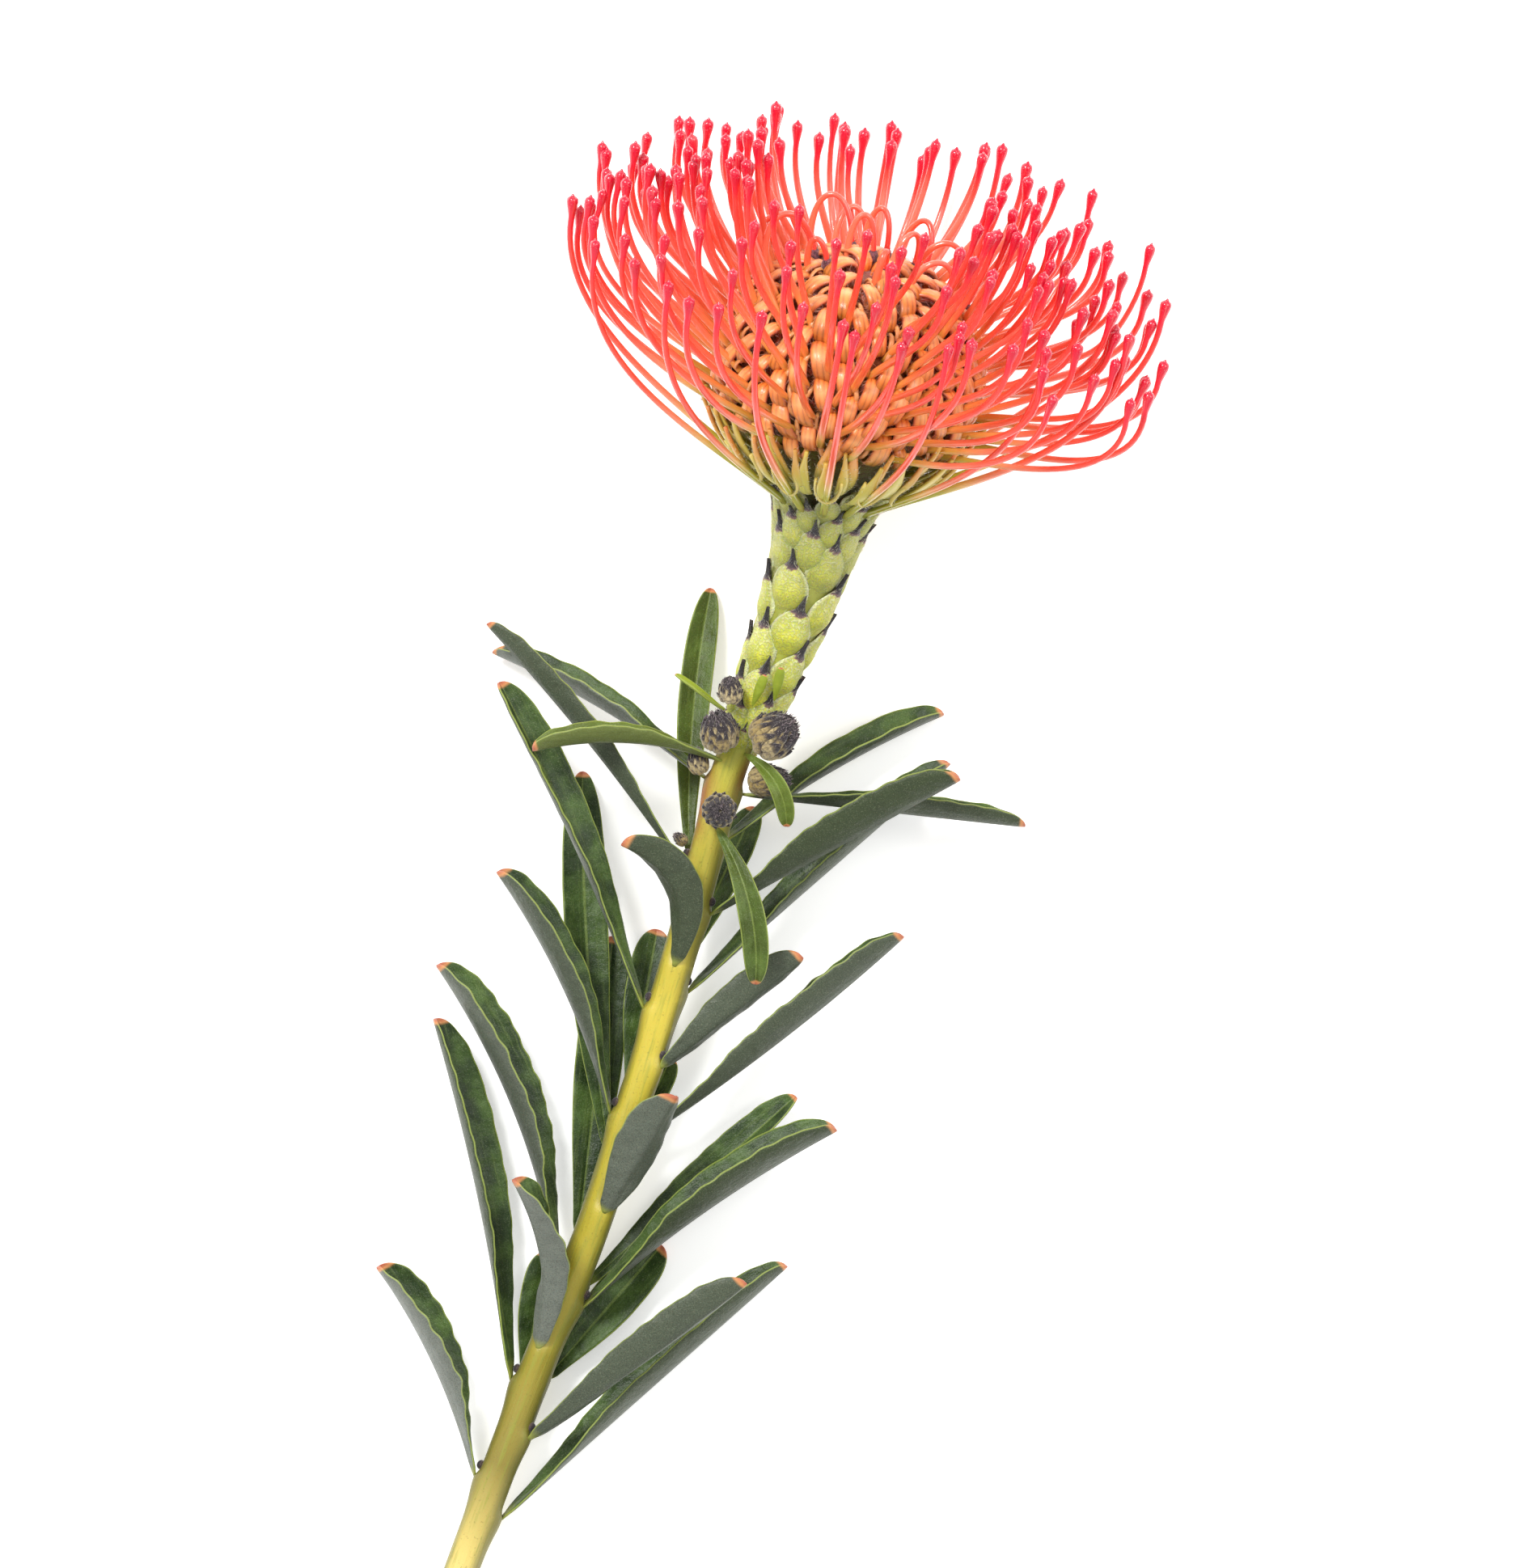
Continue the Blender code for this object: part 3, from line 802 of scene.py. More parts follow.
    def drawn(self, station: Array, around: Array, lift: Array) -> Array:
        """Points that lie lift millimetres outside the stem as it is drawn, slimmer, under its bracts."""
        return self.off(station, around, np.interp(station, self.neck_stations, self.neck_radii) + lift)


# ---------------------------------------------------------------- leaves


@dataclass(frozen=True)
class Leaf:
    """One leaf: where it leaves the stem, where its tip lies and how its blade is turned, in degrees."""

    station: float
    around: float
    heading: float
    reach: float
    tip: float
    bow: float
    arch: float
    roll: float
    twist: float
    width: float
    fold: float
    felt: float
    young: float = 0.0


LEAVES = (
    Leaf(26, 100, 48.5, 71, 6, 0, 0.5, 70, 0, 12, 50, 0.2),
    Leaf(32, -90, -25, 43, 7, 2, 0, -75, 40, 12.5, 50, 1),
    Leaf(42, 62, 54, 50, 19, 0.5, 2, 130, 0, 11, 40, 0.35),
    Leaf(51, -92, -12, 68.5, 7, 1.2, 0, -60, 10, 12, 45, 0.1),
    Leaf(51.5, -155, 10, 24, 0.5, 0, 0, -5, 0, 7, 12, 0.2),
    Leaf(53, 140, 41, 33, 0.6, 0, 0, 12, 0, 9, 12, 0.2),
    Leaf(58.5, -18, -8, 32, 20, 3.2, 1, -118, 110, 11, 40, 0.9),
    Leaf(68.5, 80, 55, 57.5, 14, -1.8, 1, 75, 0, 14, 50, 0.1),
    Leaf(72, 132, 48, 52.5, 3.5, 0, 0, 35, 0, 8, 30, 0.2),
    Leaf(74, -98, -22, 60, 10, 3.3, 0, -70, 10, 13.5, 50, 0.5),
    Leaf(79, -150, 6.5, 57, 0.5, 0, 0, -5, 0, 9, 12, 0.2),
    Leaf(86.5, 15, 32, 25.5, 21, 0, 1, 150, -50, 11.5, 30, 0.6),
    Leaf(95.5, -160, -4, 72, 2.2, -1.5, 0, -8, 0, 8.5, 15, 0.3),
    Leaf(101, 150, 26, 16, 3, 0, 0, 20, 0, 6, 15, 0.2),
    Leaf(102, 95, 52.5, 60.5, 11, 1.2, 0, 92, -15, 12, 50, 0.3),
    Leaf(104, -80, -25, 49.5, 17, 2.2, 0, -75, 10, 12, 50, 0.35),
    Leaf(109, -150, 10, 30, 0.6, 0, 0, 0, 0, 8, 12, 0.2),
    Leaf(115, 45, 52, 33.5, 17, 0, 0, 140, 0, 9.5, 35, 0.35),
    Leaf(124.5, -72, -24, 66, 15, 0.8, 1, -58, 35, 10.5, 40, 0.2),
    Leaf(129, 120, 49, 65, 3, 0, 0, 65, 0, 10.5, 45, 0.2),
    Leaf(133, 165, 25, 33, 0.6, 0, 0, 20, 0, 7.5, 15, 0.2),
    Leaf(134, -5, -23, 24.5, 27, 6, 1, -150, 60, 10, 35, 0.2),
    Leaf(144.5, 75, 61.5, 52.5, 25, 0, 0, 95, 0, 14, 55, 0.1),
    Leaf(152, -90, -39, 57.5, 14, 1, 0, -97, 0, 8.5, 50, 0.25),
    Leaf(153, -130, 4.5, 50.5, 0.5, -1.5, 0, 0, 0, 6.5, 25, 0.2, 0.12),
    Leaf(158, 130, 60, 47, 2, -1.4, -0.5, 60, 0, 9.5, 45, 0.25),
    Leaf(161, 10, 166, 30, 20, -2.5, 5, 0, 0, 5.4, 25, 0, 0.12),
    Leaf(167.5, 106, 96.5, 53, 9, 0, 0.8, 84, 0, 8.5, 50, 0.15),
    Leaf(168.5, -95, -59.5, 46, 3, 1.5, 0, -69, 0, 9, 50, 0.9),
    Leaf(173, -28, -87, 35, 24, 2.6, 1, -80, 10, 8, 55, 0.2, 0.25),
    Leaf(175.5, 30, 150, 15.5, 21, -2.3, 4, 0, 0, 3.8, 25, 0, 0.25),
    Leaf(181, -80, -54, 11.5, 20, 0, 1, -60, 0, 1.8, 15, 0, 0.75),
    Leaf(185, -5, 22, 6, 29, 0, 0.5, 180, 0, 1.8, 15, 0, 0.8),
    Leaf(187.5, 24, 12, 6, 30, 0, 0.5, 180, 0, 1.8, 15, 0, 0.8),
)


@dataclass
class Foliage:
    """The leaves: folded blades with wavy margins, each on the stem where its cushion is."""

    line: StemLine
    rings: int = 72
    half_columns: int = 8
    seat: float = 0.3
    cad_seat: float = 0.92
    thickness: float = 0.62
    keel: float = 0.35
    groove: float = 0.16
    widest: float = 0.62
    foot_width: float = 0.24
    swell: float = 1.5
    bluntness: float = 3.2
    fold_rise: float = 2.5
    fold_gather: float = 0.45
    wave: float = 0.2
    wave_length: float = 11.0
    wave_counts: tuple[float, ...] = (1.0, 1.7, 2.6)

    def half_width(self, share: Array) -> Array:
        """Outline of a blade: a sine's rise, a blunt fall, and a rounded tip.

        Args:
            share: places along it.

        Returns:
            Half widths as shares of the greatest.
        """
        rise = np.sin(math.pi / 2 * np.minimum(share / self.widest, 1)) ** self.swell
        rise = mix(self.foot_width, 1, rise) * mix(0.3, 1, smooth(share, 0, 0.06))
        fall = np.clip((share - self.widest) / (1 - self.widest), 0, 1)
        return np.where(share <= self.widest, rise, np.sqrt(1 - fall ** self.bluntness))

    def waves(self, length: Array, seeds: Array) -> Array:
        """Mean of three sines of the length, each with a phase and a strength from the seed.

        Args:
            length: distances along a blade.
            seeds: numbers that set the waves apart, broadcastable with them.

        Returns:
            The mean, about -1 to 1.
        """
        number, counts = np.arange(3), np.array(self.wave_counts)
        phase = seeds[..., None] * (3.7 + 2.3 * number) + number
        turn = 2 * math.pi * counts * length[..., None] / self.wave_length
        return (np.sin(turn + phase) * (1 + 0.5 * np.sin(5 * phase))).mean(axis=-1)

    def blade(self, leaf: Leaf, seed: int) -> Rolls:
        """Blade of one leaf.

        The midrib is (bow * 4s(1-s), reach * s, rise * s + arch * 4s(1-s)) for a share s of the length.  Each
        half bends up from it: its slope grows from the midrib to the margin with the mean of the fold.

        Args:
            leaf: its sizes.
            seed: what its waves depend on.

        Returns:
            One closed roll whose rings go over the upper face and back under the lower one.
        """
        around = math.radians(leaf.around)
        foot = self.line.skin(leaf.station, around, self.seat)
        rise = leaf.tip - self.line.skin(leaf.station, around, self.cad_seat)[2]
        share = 1 - (1 - np.linspace(0, 1, self.rings)[:, None]) ** 1.5
        hump, slope = 4 * share * (1 - share), 4 * (1 - 2 * share)
        middle = np.hstack([leaf.bow * hump, leaf.reach * share, rise * share + leaf.arch * hump])
        along = unit(np.hstack([leaf.bow * slope, leaf.reach + 0 * share, rise + leaf.arch * slope]))
        right = unit(np.cross(along, [0.0, 0.0, 1.0]))
        up = np.cross(right, along)
        roll = np.radians(leaf.roll + leaf.twist * (share - 0.5))
        across = right * np.cos(roll) + up * np.sin(roll)
        face = up * np.cos(roll) - right * np.sin(roll)

        side = np.linspace(-1, 1, 2 * self.half_columns + 1)
        side = np.sign(side) * np.abs(side) ** 0.85
        out = np.abs(side)
        half = self.half_width(share) * leaf.width / 2
        fold = np.maximum(np.radians(leaf.fold) * np.minimum(1, self.fold_rise * share), 0.02)
        start, gather = fold * (1 - self.fold_gather), 2 * self.fold_gather * fold
        lean = start + gather * out
        width = half * np.sign(side) * (np.sin(lean) - np.sin(start)) / gather
        lift = half * (np.cos(start) - np.cos(lean)) / gather
        wave = self.wave * (1 + leaf.felt) * self.waves(share * leaf.reach, seed + 0.7 * np.sign(side)[None])
        lift = lift + wave * out ** 2 * np.sqrt(half / 6) * smooth(share, 0.05, 0.3)
        thick = self.thickness * mix(0.35, 1, np.sqrt(np.clip(1 - out ** 6, 0, 1)))
        thick = thick * mix(0.55, 1, smooth(half, 0.0, 2.0)) * mix(0.4, 1, smooth(share, 0, 0.05))
        keel = self.keel * np.exp(-(out * half / 0.8) ** 2) * (1 - 0.6 * share)
        groove = self.groove * np.exp(-(side * half / 0.45) ** 2) * smooth(share, 0.04, 0.2)
        tilt = np.sin(lean) * np.tanh(side * 6)
        layers = []
        for height in (thick / 2 - groove, -thick / 2 - keel):
            x, y = (width - tilt * height)[..., None], (lift + np.cos(lean) * height)[..., None]
            layers.append((middle[:, None] + across[:, None] * x + face[:, None] * y)[None])
        points = there_and_back(*layers) @ rotation(math.radians(-leaf.heading), 2).T + foot
        side, upper = np.append(side, side[::-1]), np.repeat([1.0, 0.0], len(side))
        length = share * leaf.reach
        return Rolls(points, {
            "side": side, "upper": upper, "share": share, "felt": leaf.felt, "young": leaf.young,
            "tip": (leaf.reach - length) * max(1.0, 9 / leaf.width),
            "grain": stacked(side * half + 3 * seed, upper, length)[None],
        })

    def build(self) -> None:
        """Makes every leaf."""
        material = LeafSkin().material()
        for index, leaf in enumerate(LEAVES, start=1):
            blade, node = f"leaf_blade_{index:02d}", f"leaf_{index:02d}"
            add_piece(blade, self.blade(leaf, index), material, (node,))


# ---------------------------------------------------------------- stem and neck


@dataclass
class Stem:
    """The stem's skin from the plain cut to the flare, with a cushion under each leaf."""

    line: StemLine
    ring_step: float = 0.75
    sides: int = 52
    end: float = 219.0
    cut_rings: tuple[float, ...] = (0.08, 0.25, 0.5, 0.75, 0.9, 0.97)
    dish: float = 0.25
    cushion: float = 0.75
    cushion_below: float = 4.5
    cushion_above: float = 1.2
    cushion_turn: float = 0.62
    left_blush: tuple[float, float] = (163.0, 9.0)
    right_blush: tuple[float, float] = (171.0, 4.0)

    def build(self) -> None:
        """Makes the stem, whose lift is two slow sines and a bell in both directions for each cushion."""
        stations = np.arange(0, self.end, self.ring_step)[:, None]
        turn = 2 * math.pi * np.arange(self.sides) / self.sides
        lift = 0.07 * np.sin(5 * turn + stations / 25) + 0.05 * np.sin(3 * turn - stations / 17)
        for leaf in LEAVES:
            away = (turn - math.radians(leaf.around) + math.pi) % (2 * math.pi) - math.pi
            gap = stations - leaf.station
            reach = np.where(gap < 0, self.cushion_below, self.cushion_above)
            size = self.cushion * min(1.0, leaf.width / 9)
            lift = lift + size * np.exp(-(gap / reach) ** 2 - (away / self.cushion_turn) ** 2)
        body = self.line.drawn(stations, turn, lift)
        rings = np.array(self.cut_rings)[:, None]
        centre = self.line.centre(0.0)
        dish = self.line.along(0.0) * self.dish * (1 - rings ** 2)
        cut = centre + (body[:1] - centre) * rings[..., None] + dish[:, None]
        left, right = np.clip(-np.sin(turn), 0, 1), np.clip(np.sin(turn), 0, 1)
        bells = [np.exp(-((stations - at) / wide) ** 2) for at, wide in (self.left_blush, self.right_blush)]
        blush = bells[0] * left ** 1.5 + 0.6 * bells[1] * right ** 2
        # Painted shade: the sides, a quarter turn from the upper side, get the darker olive.
        flank = 0.8 * smooth(np.abs(np.sin(turn + 0.15)), 0.45, 1.0) + 0 * stations
        marks = {"station": stations / self.line.length, "flank": flank, "blush": blush}
        marks = {mark: np.pad(values, ((len(rings), 0), (0, 0))) for mark, values in marks.items()}
        marks["cut"] = np.vstack([1 - 0.97 * rings, 0 * stations])
        rows = np.vstack([0 * rings, stations])
        marks["grain"] = stacked(3 * np.cos(turn), 3 * np.sin(turn), rows)[None]
        points = np.concatenate([cut, body])[None]
        add_piece("stem_skin", Rolls(points, marks), StemSkin().material(), ("stem",))


@dataclass
class Neck:
    """The neck's bracts in a golden spiral: broad plump scales with pale rims, each ending in a dark awl."""

    line: StemLine
    first: int = -11
    count: int = 68
    steps: tuple[int, ...] = (-11, 0, 5, 21, 56)
    tip_stations: tuple[float, ...] = (178.5, 189.5, 194.9, 221.0, 236.0)
    first_around: float = 21.0
    length: float = 15.0
    width: float = 9.0
    widest: float = 0.42
    shoulder: float = 0.83
    awl_start: float = 0.72
    awl_width: float = 2.5
    awl_lift: float = 0.55
    rings: int = 26
    columns: int = 11
    hairs: int = 80

    def __post_init__(self) -> None:
        """Numbers the bracts and places their tips: close at the foot, wide apart up to the cone."""
        self.number = np.arange(self.first, self.first + self.count)[:, None, None]
        self.tip = np.interp(self.number, self.steps, self.tip_stations)
        self.size = mix(0.42, 1, smooth(self.tip, 179, 193)) * (1 - 0.22 * smooth(self.tip, 219, 228))

    def half_width(self, share: Array) -> Array:
        """Outline of a bract: its body curves in to its point as 1 - fall^2.2, and its awl goes on.

        Args:
            share: places along it.

        Returns:
            Half widths, for every bract.
        """
        fall = np.clip((share - self.widest) / (self.shoulder - self.widest), 0, 1)
        body = self.width / 2 * mix(0.62, 1, smooth(share, 0, self.widest)) * (1 - fall ** 2.2)
        awl = self.awl_width / 2 * np.clip((1 - share) / (1 - self.awl_start), 0, 1) ** 1.3 + 0.1
        return np.maximum(body * (1 - 0.25 * smooth(self.tip, 221, 230)), awl) * self.size

    def build(self) -> None:
        """Makes the bracts and their down.

        A bract lies on the drawn neck.  Its lift is a ground that climbs with the share of its length, a
        crown of 1 - side^2.2 that fades towards its point, and the awl's own rise.
        """
        share = np.linspace(0, 1, self.rings)[None, :, None]
        side = np.abs(np.linspace(-1, 1, self.columns))
        across = np.linspace(-1, 1, self.columns) * self.half_width(share)
        ground = -0.5 + 0.75 * smooth(share, 0.0, 0.4) + 0.35 * smooth(share, 0.55, 0.78)
        crown = smooth(share, 0.05, 0.4) * (1 - 0.45 * smooth(share, 0.66, 0.82)) * (1 - side ** 2.2)
        awl = np.clip((share - self.awl_start) / (1 - self.awl_start), 0, 1) ** 1.3
        stand = self.awl_lift * (0.75 + 0.45 * np.sin(2.9 * self.number))
        lift = (ground + crown) * mix(0.4, 1, self.size) + stand * awl
        station = self.tip - (1 - share) * self.length * self.size
        neck = np.interp(station, self.line.neck_stations, self.line.neck_radii)
        skew = 0.07 * np.sin(4.1 * self.number) * (share - 0.5)
        angle = math.radians(self.first_around) + self.number * GOLDEN_ANGLE + across / (neck + 0.8) + skew
        thick = mix(1.5, 0.42, smooth(share, 0.42, 0.74)) * (1 - 0.55 * side ** 4)
        outer = self.line.drawn(station, angle, lift)
        inner = self.line.drawn(station, angle, lift - thick)

        rim = smooth(side, 0.84, 0.97) * smooth(share, 0.25, 0.45) * (1 - smooth(share, 0.72, 0.8))
        shade = np.clip(smooth(side, 0.3, 0.85) + 1 - smooth(share, 0.25, 0.45), 0, 1)
        broad = 1.15 * (1 + 0.6 * smooth(self.tip, 205, 220)) * (1 + 0.35 * np.sin(5.9 * self.number))
        outside = smooth(np.abs(across) - broad * np.clip((share - 0.66) / 0.1, 0, 1), -0.35, 0.2)
        dry = mix(0.3, 1, smooth(share, 0.66, 0.86)) * smooth(share, 0.66, 0.74)
        dry = dry * (1 - outside * (share < 0.78))
        marks = {mark: there_and_back(values, values)
                 for mark, values in {"edge": rim, "shade": shade, "dry": dry}.items()}
        marks["frost"] = smooth(share, 0.3, 0.66)
        marks["tone"] = 0.5 + 0.5 * np.sin(9.7 * self.number)
        marks["high"] = smooth(self.tip, 205, 226)
        add_piece("neck_bracts", Rolls(there_and_back(outer, inner), marks), BractSkin().material())
        add_piece("neck_down", self.down(outer), Hair.DOWN.material())

    def down(self, outer: Array) -> Rolls:
        """Short hairs along the margins and over the upper half of each bract.

        Args:
            outer: the bracts' outer faces, (count, rings, columns, 3).

        Returns:
            The hairs.
        """
        chance = np.random.default_rng(11)
        count = (self.count, self.hairs)
        row = (self.rings * (0.3 + 0.5 * chance.random(count))).astype(int).ravel()
        margin = chance.random(count) < 0.55
        ends = chance.integers(0, 2, count) * (self.columns - 1)
        column = np.where(margin, ends, chance.integers(0, self.columns, count)).ravel()
        bract = np.repeat(np.arange(self.count), self.hairs)
        feet = outer[bract, row, column]
        forward = unit(outer[bract, np.minimum(row + 1, self.rings - 1), column] - feet)
        out = unit(feet - self.line.centre(self.tip[bract, 0, 0] - 4))
        ways = unit(out * 0.7 + forward * 0.9 + chance.normal(0, 0.45, feet.shape))
        return spikes(feet, ways, forward * 0.4, 0.3 + 0.5 * chance.random(len(feet)), 0.032)


# ---------------------------------------------------------------- side buds


@dataclass(frozen=True)
class Bud:
    """One side bud: an egg on the stem, with its lean, and its crown's turns aside and up, in degrees."""

    station: float
    around: float
    radius: float
    length: float
    lean: float
    crown: tuple[float, float]
    pale: float


BUDS = {
    "side_bud_1": Bud(182.0, 33.0, 4.2, 4.7, 35.0, (22.0, 20.0), 0.2),
    "side_bud_2": Bud(178.0, -31.0, 3.5, 4.0, 30.0, (-12.0, 22.0), 0.35),
    "side_bud_3": Bud(186.0, -36.0, 2.2, 2.7, 30.0, (-12.0, 30.0), 0.95),
    "side_bud_4": Bud(172.0, 74.0, 2.9, 4.1, 15.0, (8.0, 5.0), 0.1),
    "side_bud_5": Bud(164.5, 4.0, 3.1, 3.3, 5.0, (0.0, 2.0), 0.1),
    "side_bud_6": Bud(171.0, -74.0, 1.9, 2.6, 35.0, (0.0, 25.0), 0.5),
    "axil_bud": Bud(156.6, -86.0, 1.1, 1.5, 25.0, (0.0, 0.0), 0.0),
}


@dataclass
class SideBuds:
    """Woolly buds: overlapping pointed scales on an egg, drawn together in a dark tufted crown."""

    line: StemLine
    seat: float = 0.5
    full_radius: float = 4.2
    scales: int = 44
    rings: int = 10
    columns: int = 5
    scale_width: float = 0.3
    hairs: int = 150
    tuft_hairs: int = 110
    tuft_polar: float = 0.85
    speck_radius: float = 0.72
    speck_stretch: float = 1.25
    speck_above: float = 2.4
    speck_leaves: tuple[int, ...] = (2, 3, 4, 8, 10, 13, 15, 16, 18, 19, 20, 23, 24, 26)

    def place(self, bud: Bud) -> tuple[Array, Array]:
        """Stands an egg on the stem, by the half height that it has when it leans.

        Args:
            bud: its sizes.

        Returns:
            The egg's centre, and the turn of its +Z to its crown.
        """
        around, lean = math.radians(bud.around), math.radians(bud.lean)
        half = math.hypot(bud.radius * math.sin(lean), bud.length * math.cos(lean))
        aside, up = np.radians(bud.crown)
        out, along = self.line.outward(bud.station, around + aside), self.line.along(bud.station)
        axis = out * math.cos(lean + up) + along * math.sin(lean + up)
        turn = np.array(Vector(axis).to_track_quat("Z", "Y").to_matrix())
        return self.line.skin(bud.station, around, self.seat + half), turn

    def egg(self, bud: Bud, polar: Array, azimuth: Array, lift: Array) -> Array:
        """Points of the egg in its own frame.

        Its ring at a polar angle p from the top is (radius * (1 - 0.18 cos p) + lift) * sin p wide and
        (length + lift) * cos p high.

        Args:
            bud: its sizes.
            polar, azimuth: angles in radians.
            lift: distances outside it.

        Returns:
            Points, with a last axis of 3.
        """
        ring = (bud.radius * (1 - 0.18 * np.cos(polar)) + lift) * np.sin(polar)
        return ring_point(ring, (bud.length + lift) * np.cos(polar), azimuth)

    def scaly(self, bud: Bud, seed: int) -> Rolls:
        """Pointed scales in a golden spiral.

        A scale runs up the egg from its foot's polar angle; its half width narrows as 1 - s^2.5 to the point,
        and its lift grows with s^3, so that each one lies over the foot of the next ones up.

        Args:
            bud: its sizes.
            seed: what its scales' turns depend on.

        Returns:
            The scales as rolls of one grid size.
        """
        index = np.arange(self.scales)[:, None, None]
        share = np.linspace(0, 1, self.rings)[None, :, None]
        side = np.linspace(-1, 1, self.columns)[None, None]
        foot = np.arccos(np.clip(0.95 - 1.75 * (index + 0.5) / self.scales, -1, 1))
        polar = np.maximum(foot + 0.3 - share * (1.15 + 0.3 * np.sin(5.3 * index + seed)), 0.12)
        width = self.scale_width * (mix(0.6, 1, smooth(share, 0, 0.35)) * (1 - share ** 2.5) + 0.12)
        bend = 0.35 * np.sin(8.9 * index) * (share - 0.4)
        azimuth = index * GOLDEN_ANGLE + seed + bend + side * width / np.maximum(np.sin(polar), 0.3)
        size = bud.radius / self.full_radius
        lift = 0.45 * (1 - side ** 2) + 0.62 * share ** 3 - 0.3 * (1 - smooth(share, 0, 0.2)) - 0.35
        thick = 0.26 + 0.45 * (1 - share)
        points = there_and_back(*(self.egg(bud, polar, azimuth, size * x) for x in (lift, lift - thick)))
        edge = smooth(np.abs(side), 0.35, 0.95)
        height = 0.5 + 0.5 * points[..., 2] / bud.length
        tone = np.clip(bud.pale + 0.3 * np.sin(4.7 * index + seed), 0, 1)
        edge = there_and_back(edge, edge)
        return Rolls(points, {"share": share, "edge": edge, "height": height, "tone": tone})

    def core(self, bud: Bud) -> Rolls:
        """The egg itself, slightly inside its scales.

        Args:
            bud: its sizes.

        Returns:
            One closed roll.
        """
        polar = np.linspace(math.pi - 0.08, 0.08, 20)[:, None]
        points = self.egg(bud, polar, 2 * math.pi * np.arange(24) / 24, -0.12 * bud.radius)[None]
        height = 0.5 + 0.5 * points[..., 2] / bud.length
        return Rolls(points, {"share": 0.0, "edge": 0.5, "tone": 0.0, "height": height})

    def wool(self, bud: Bud, chance: np.random.Generator) -> Rolls:
        """Short hairs over the bud, lying towards its crown.

        Args:
            bud: its sizes.
            chance: the random draws, shared by all the buds.

        Returns:
            The hairs.
        """
        hairs = max(60, int(self.hairs * (bud.radius / self.full_radius) ** 2))
        polar = np.arccos(1 - 1.7 * chance.random(hairs))
        azimuth = 2 * math.pi * chance.random(hairs)
        feet = self.egg(bud, polar, azimuth, 0.0)
        up = unit(self.egg(bud, polar - 0.2, azimuth, 0.0) - feet)
        ways = unit(unit(feet) * 0.5 + up + chance.normal(0, 0.35, feet.shape))
        length = (0.4 + 0.5 * chance.random(hairs)) * (0.5 + bud.radius / 8)
        return spikes(feet, ways, up * 0.5, length, 0.04)

    def tuft(self, bud: Bud, chance: np.random.Generator) -> Rolls:
        """Thick dark hairs, close together on the crown.

        Args:
            bud: its sizes.
            chance: the random draws, shared by all the buds.

        Returns:
            The hairs.
        """
        hairs = max(30, int(self.tuft_hairs * (bud.radius / self.full_radius) ** 2))
        polar = self.tuft_polar * np.sqrt(chance.random(hairs))
        azimuth = 2 * math.pi * chance.random(hairs)
        feet = self.egg(bud, polar, azimuth, -0.15)
        ways = unit(unit(feet) * 0.7 + [0, 0, 0.6] + chance.normal(0, 0.3, feet.shape))
        length = (0.5 + 0.5 * chance.random(hairs)) * (0.35 + bud.radius / 5)
        return spikes(feet, ways, ways * 0.1, length, 0.15)

    def specks(self) -> Rolls:
        """Sleeping buds: small dark knobs in the leaves' axils, long half spheres on the stem's skin.

        Returns:
            The knobs.
        """
        leaves = [LEAVES[number - 1] for number in self.speck_leaves]
        station = np.array([leaf.station for leaf in leaves]) + self.speck_above
        around = np.radians([leaf.around for leaf in leaves])
        out, along = self.line.outward(station, around), self.line.along(station)
        polar = np.linspace(math.pi - 0.3, 0.15, 7)[:, None]
        cos, sin = (row[:, None] for row in circle(8))
        out, along, aside = (way[:, None, None] for way in (out, along, np.cross(out, along)))
        ring = along * cos * self.speck_stretch + aside * sin
        points = (ring * np.sin(polar)[..., None] + out * np.cos(polar)[..., None]) * self.speck_radius
        points = points + self.line.skin(station, around, 0.25)[:, None, None]
        height = 0.5 + 0.5 * np.cos(polar)
        return Rolls(points, {"share": height, "edge": 1.0, "tone": 0.0, "height": height})

    def build(self) -> None:
        """Makes each bud's scales, core, wool and tuft, and the sleeping buds."""
        material, wool, dark = BudWool().material(), Hair.WOOL.material(), Hair.TUFT.material()
        chance = np.random.default_rng(5)
        for seed, (name, bud) in enumerate(BUDS.items()):
            centre, turn = self.place(bud)
            pieces = {"scales": (self.scaly(bud, seed), material), "core": (self.core(bud), material),
                      "wool": (self.wool(bud, chance), wool), "tuft": (self.tuft(bud, chance), dark)}
            for part, (rolls, finish) in pieces.items():
                rolls.points = rolls.points @ turn.T + centre
                add_piece(f"{name}_{part}", rolls, finish, (name,) if part == "scales" else ())
        add_piece("axil_specks", self.specks(), material)


# ---------------------------------------------------------------- flower head


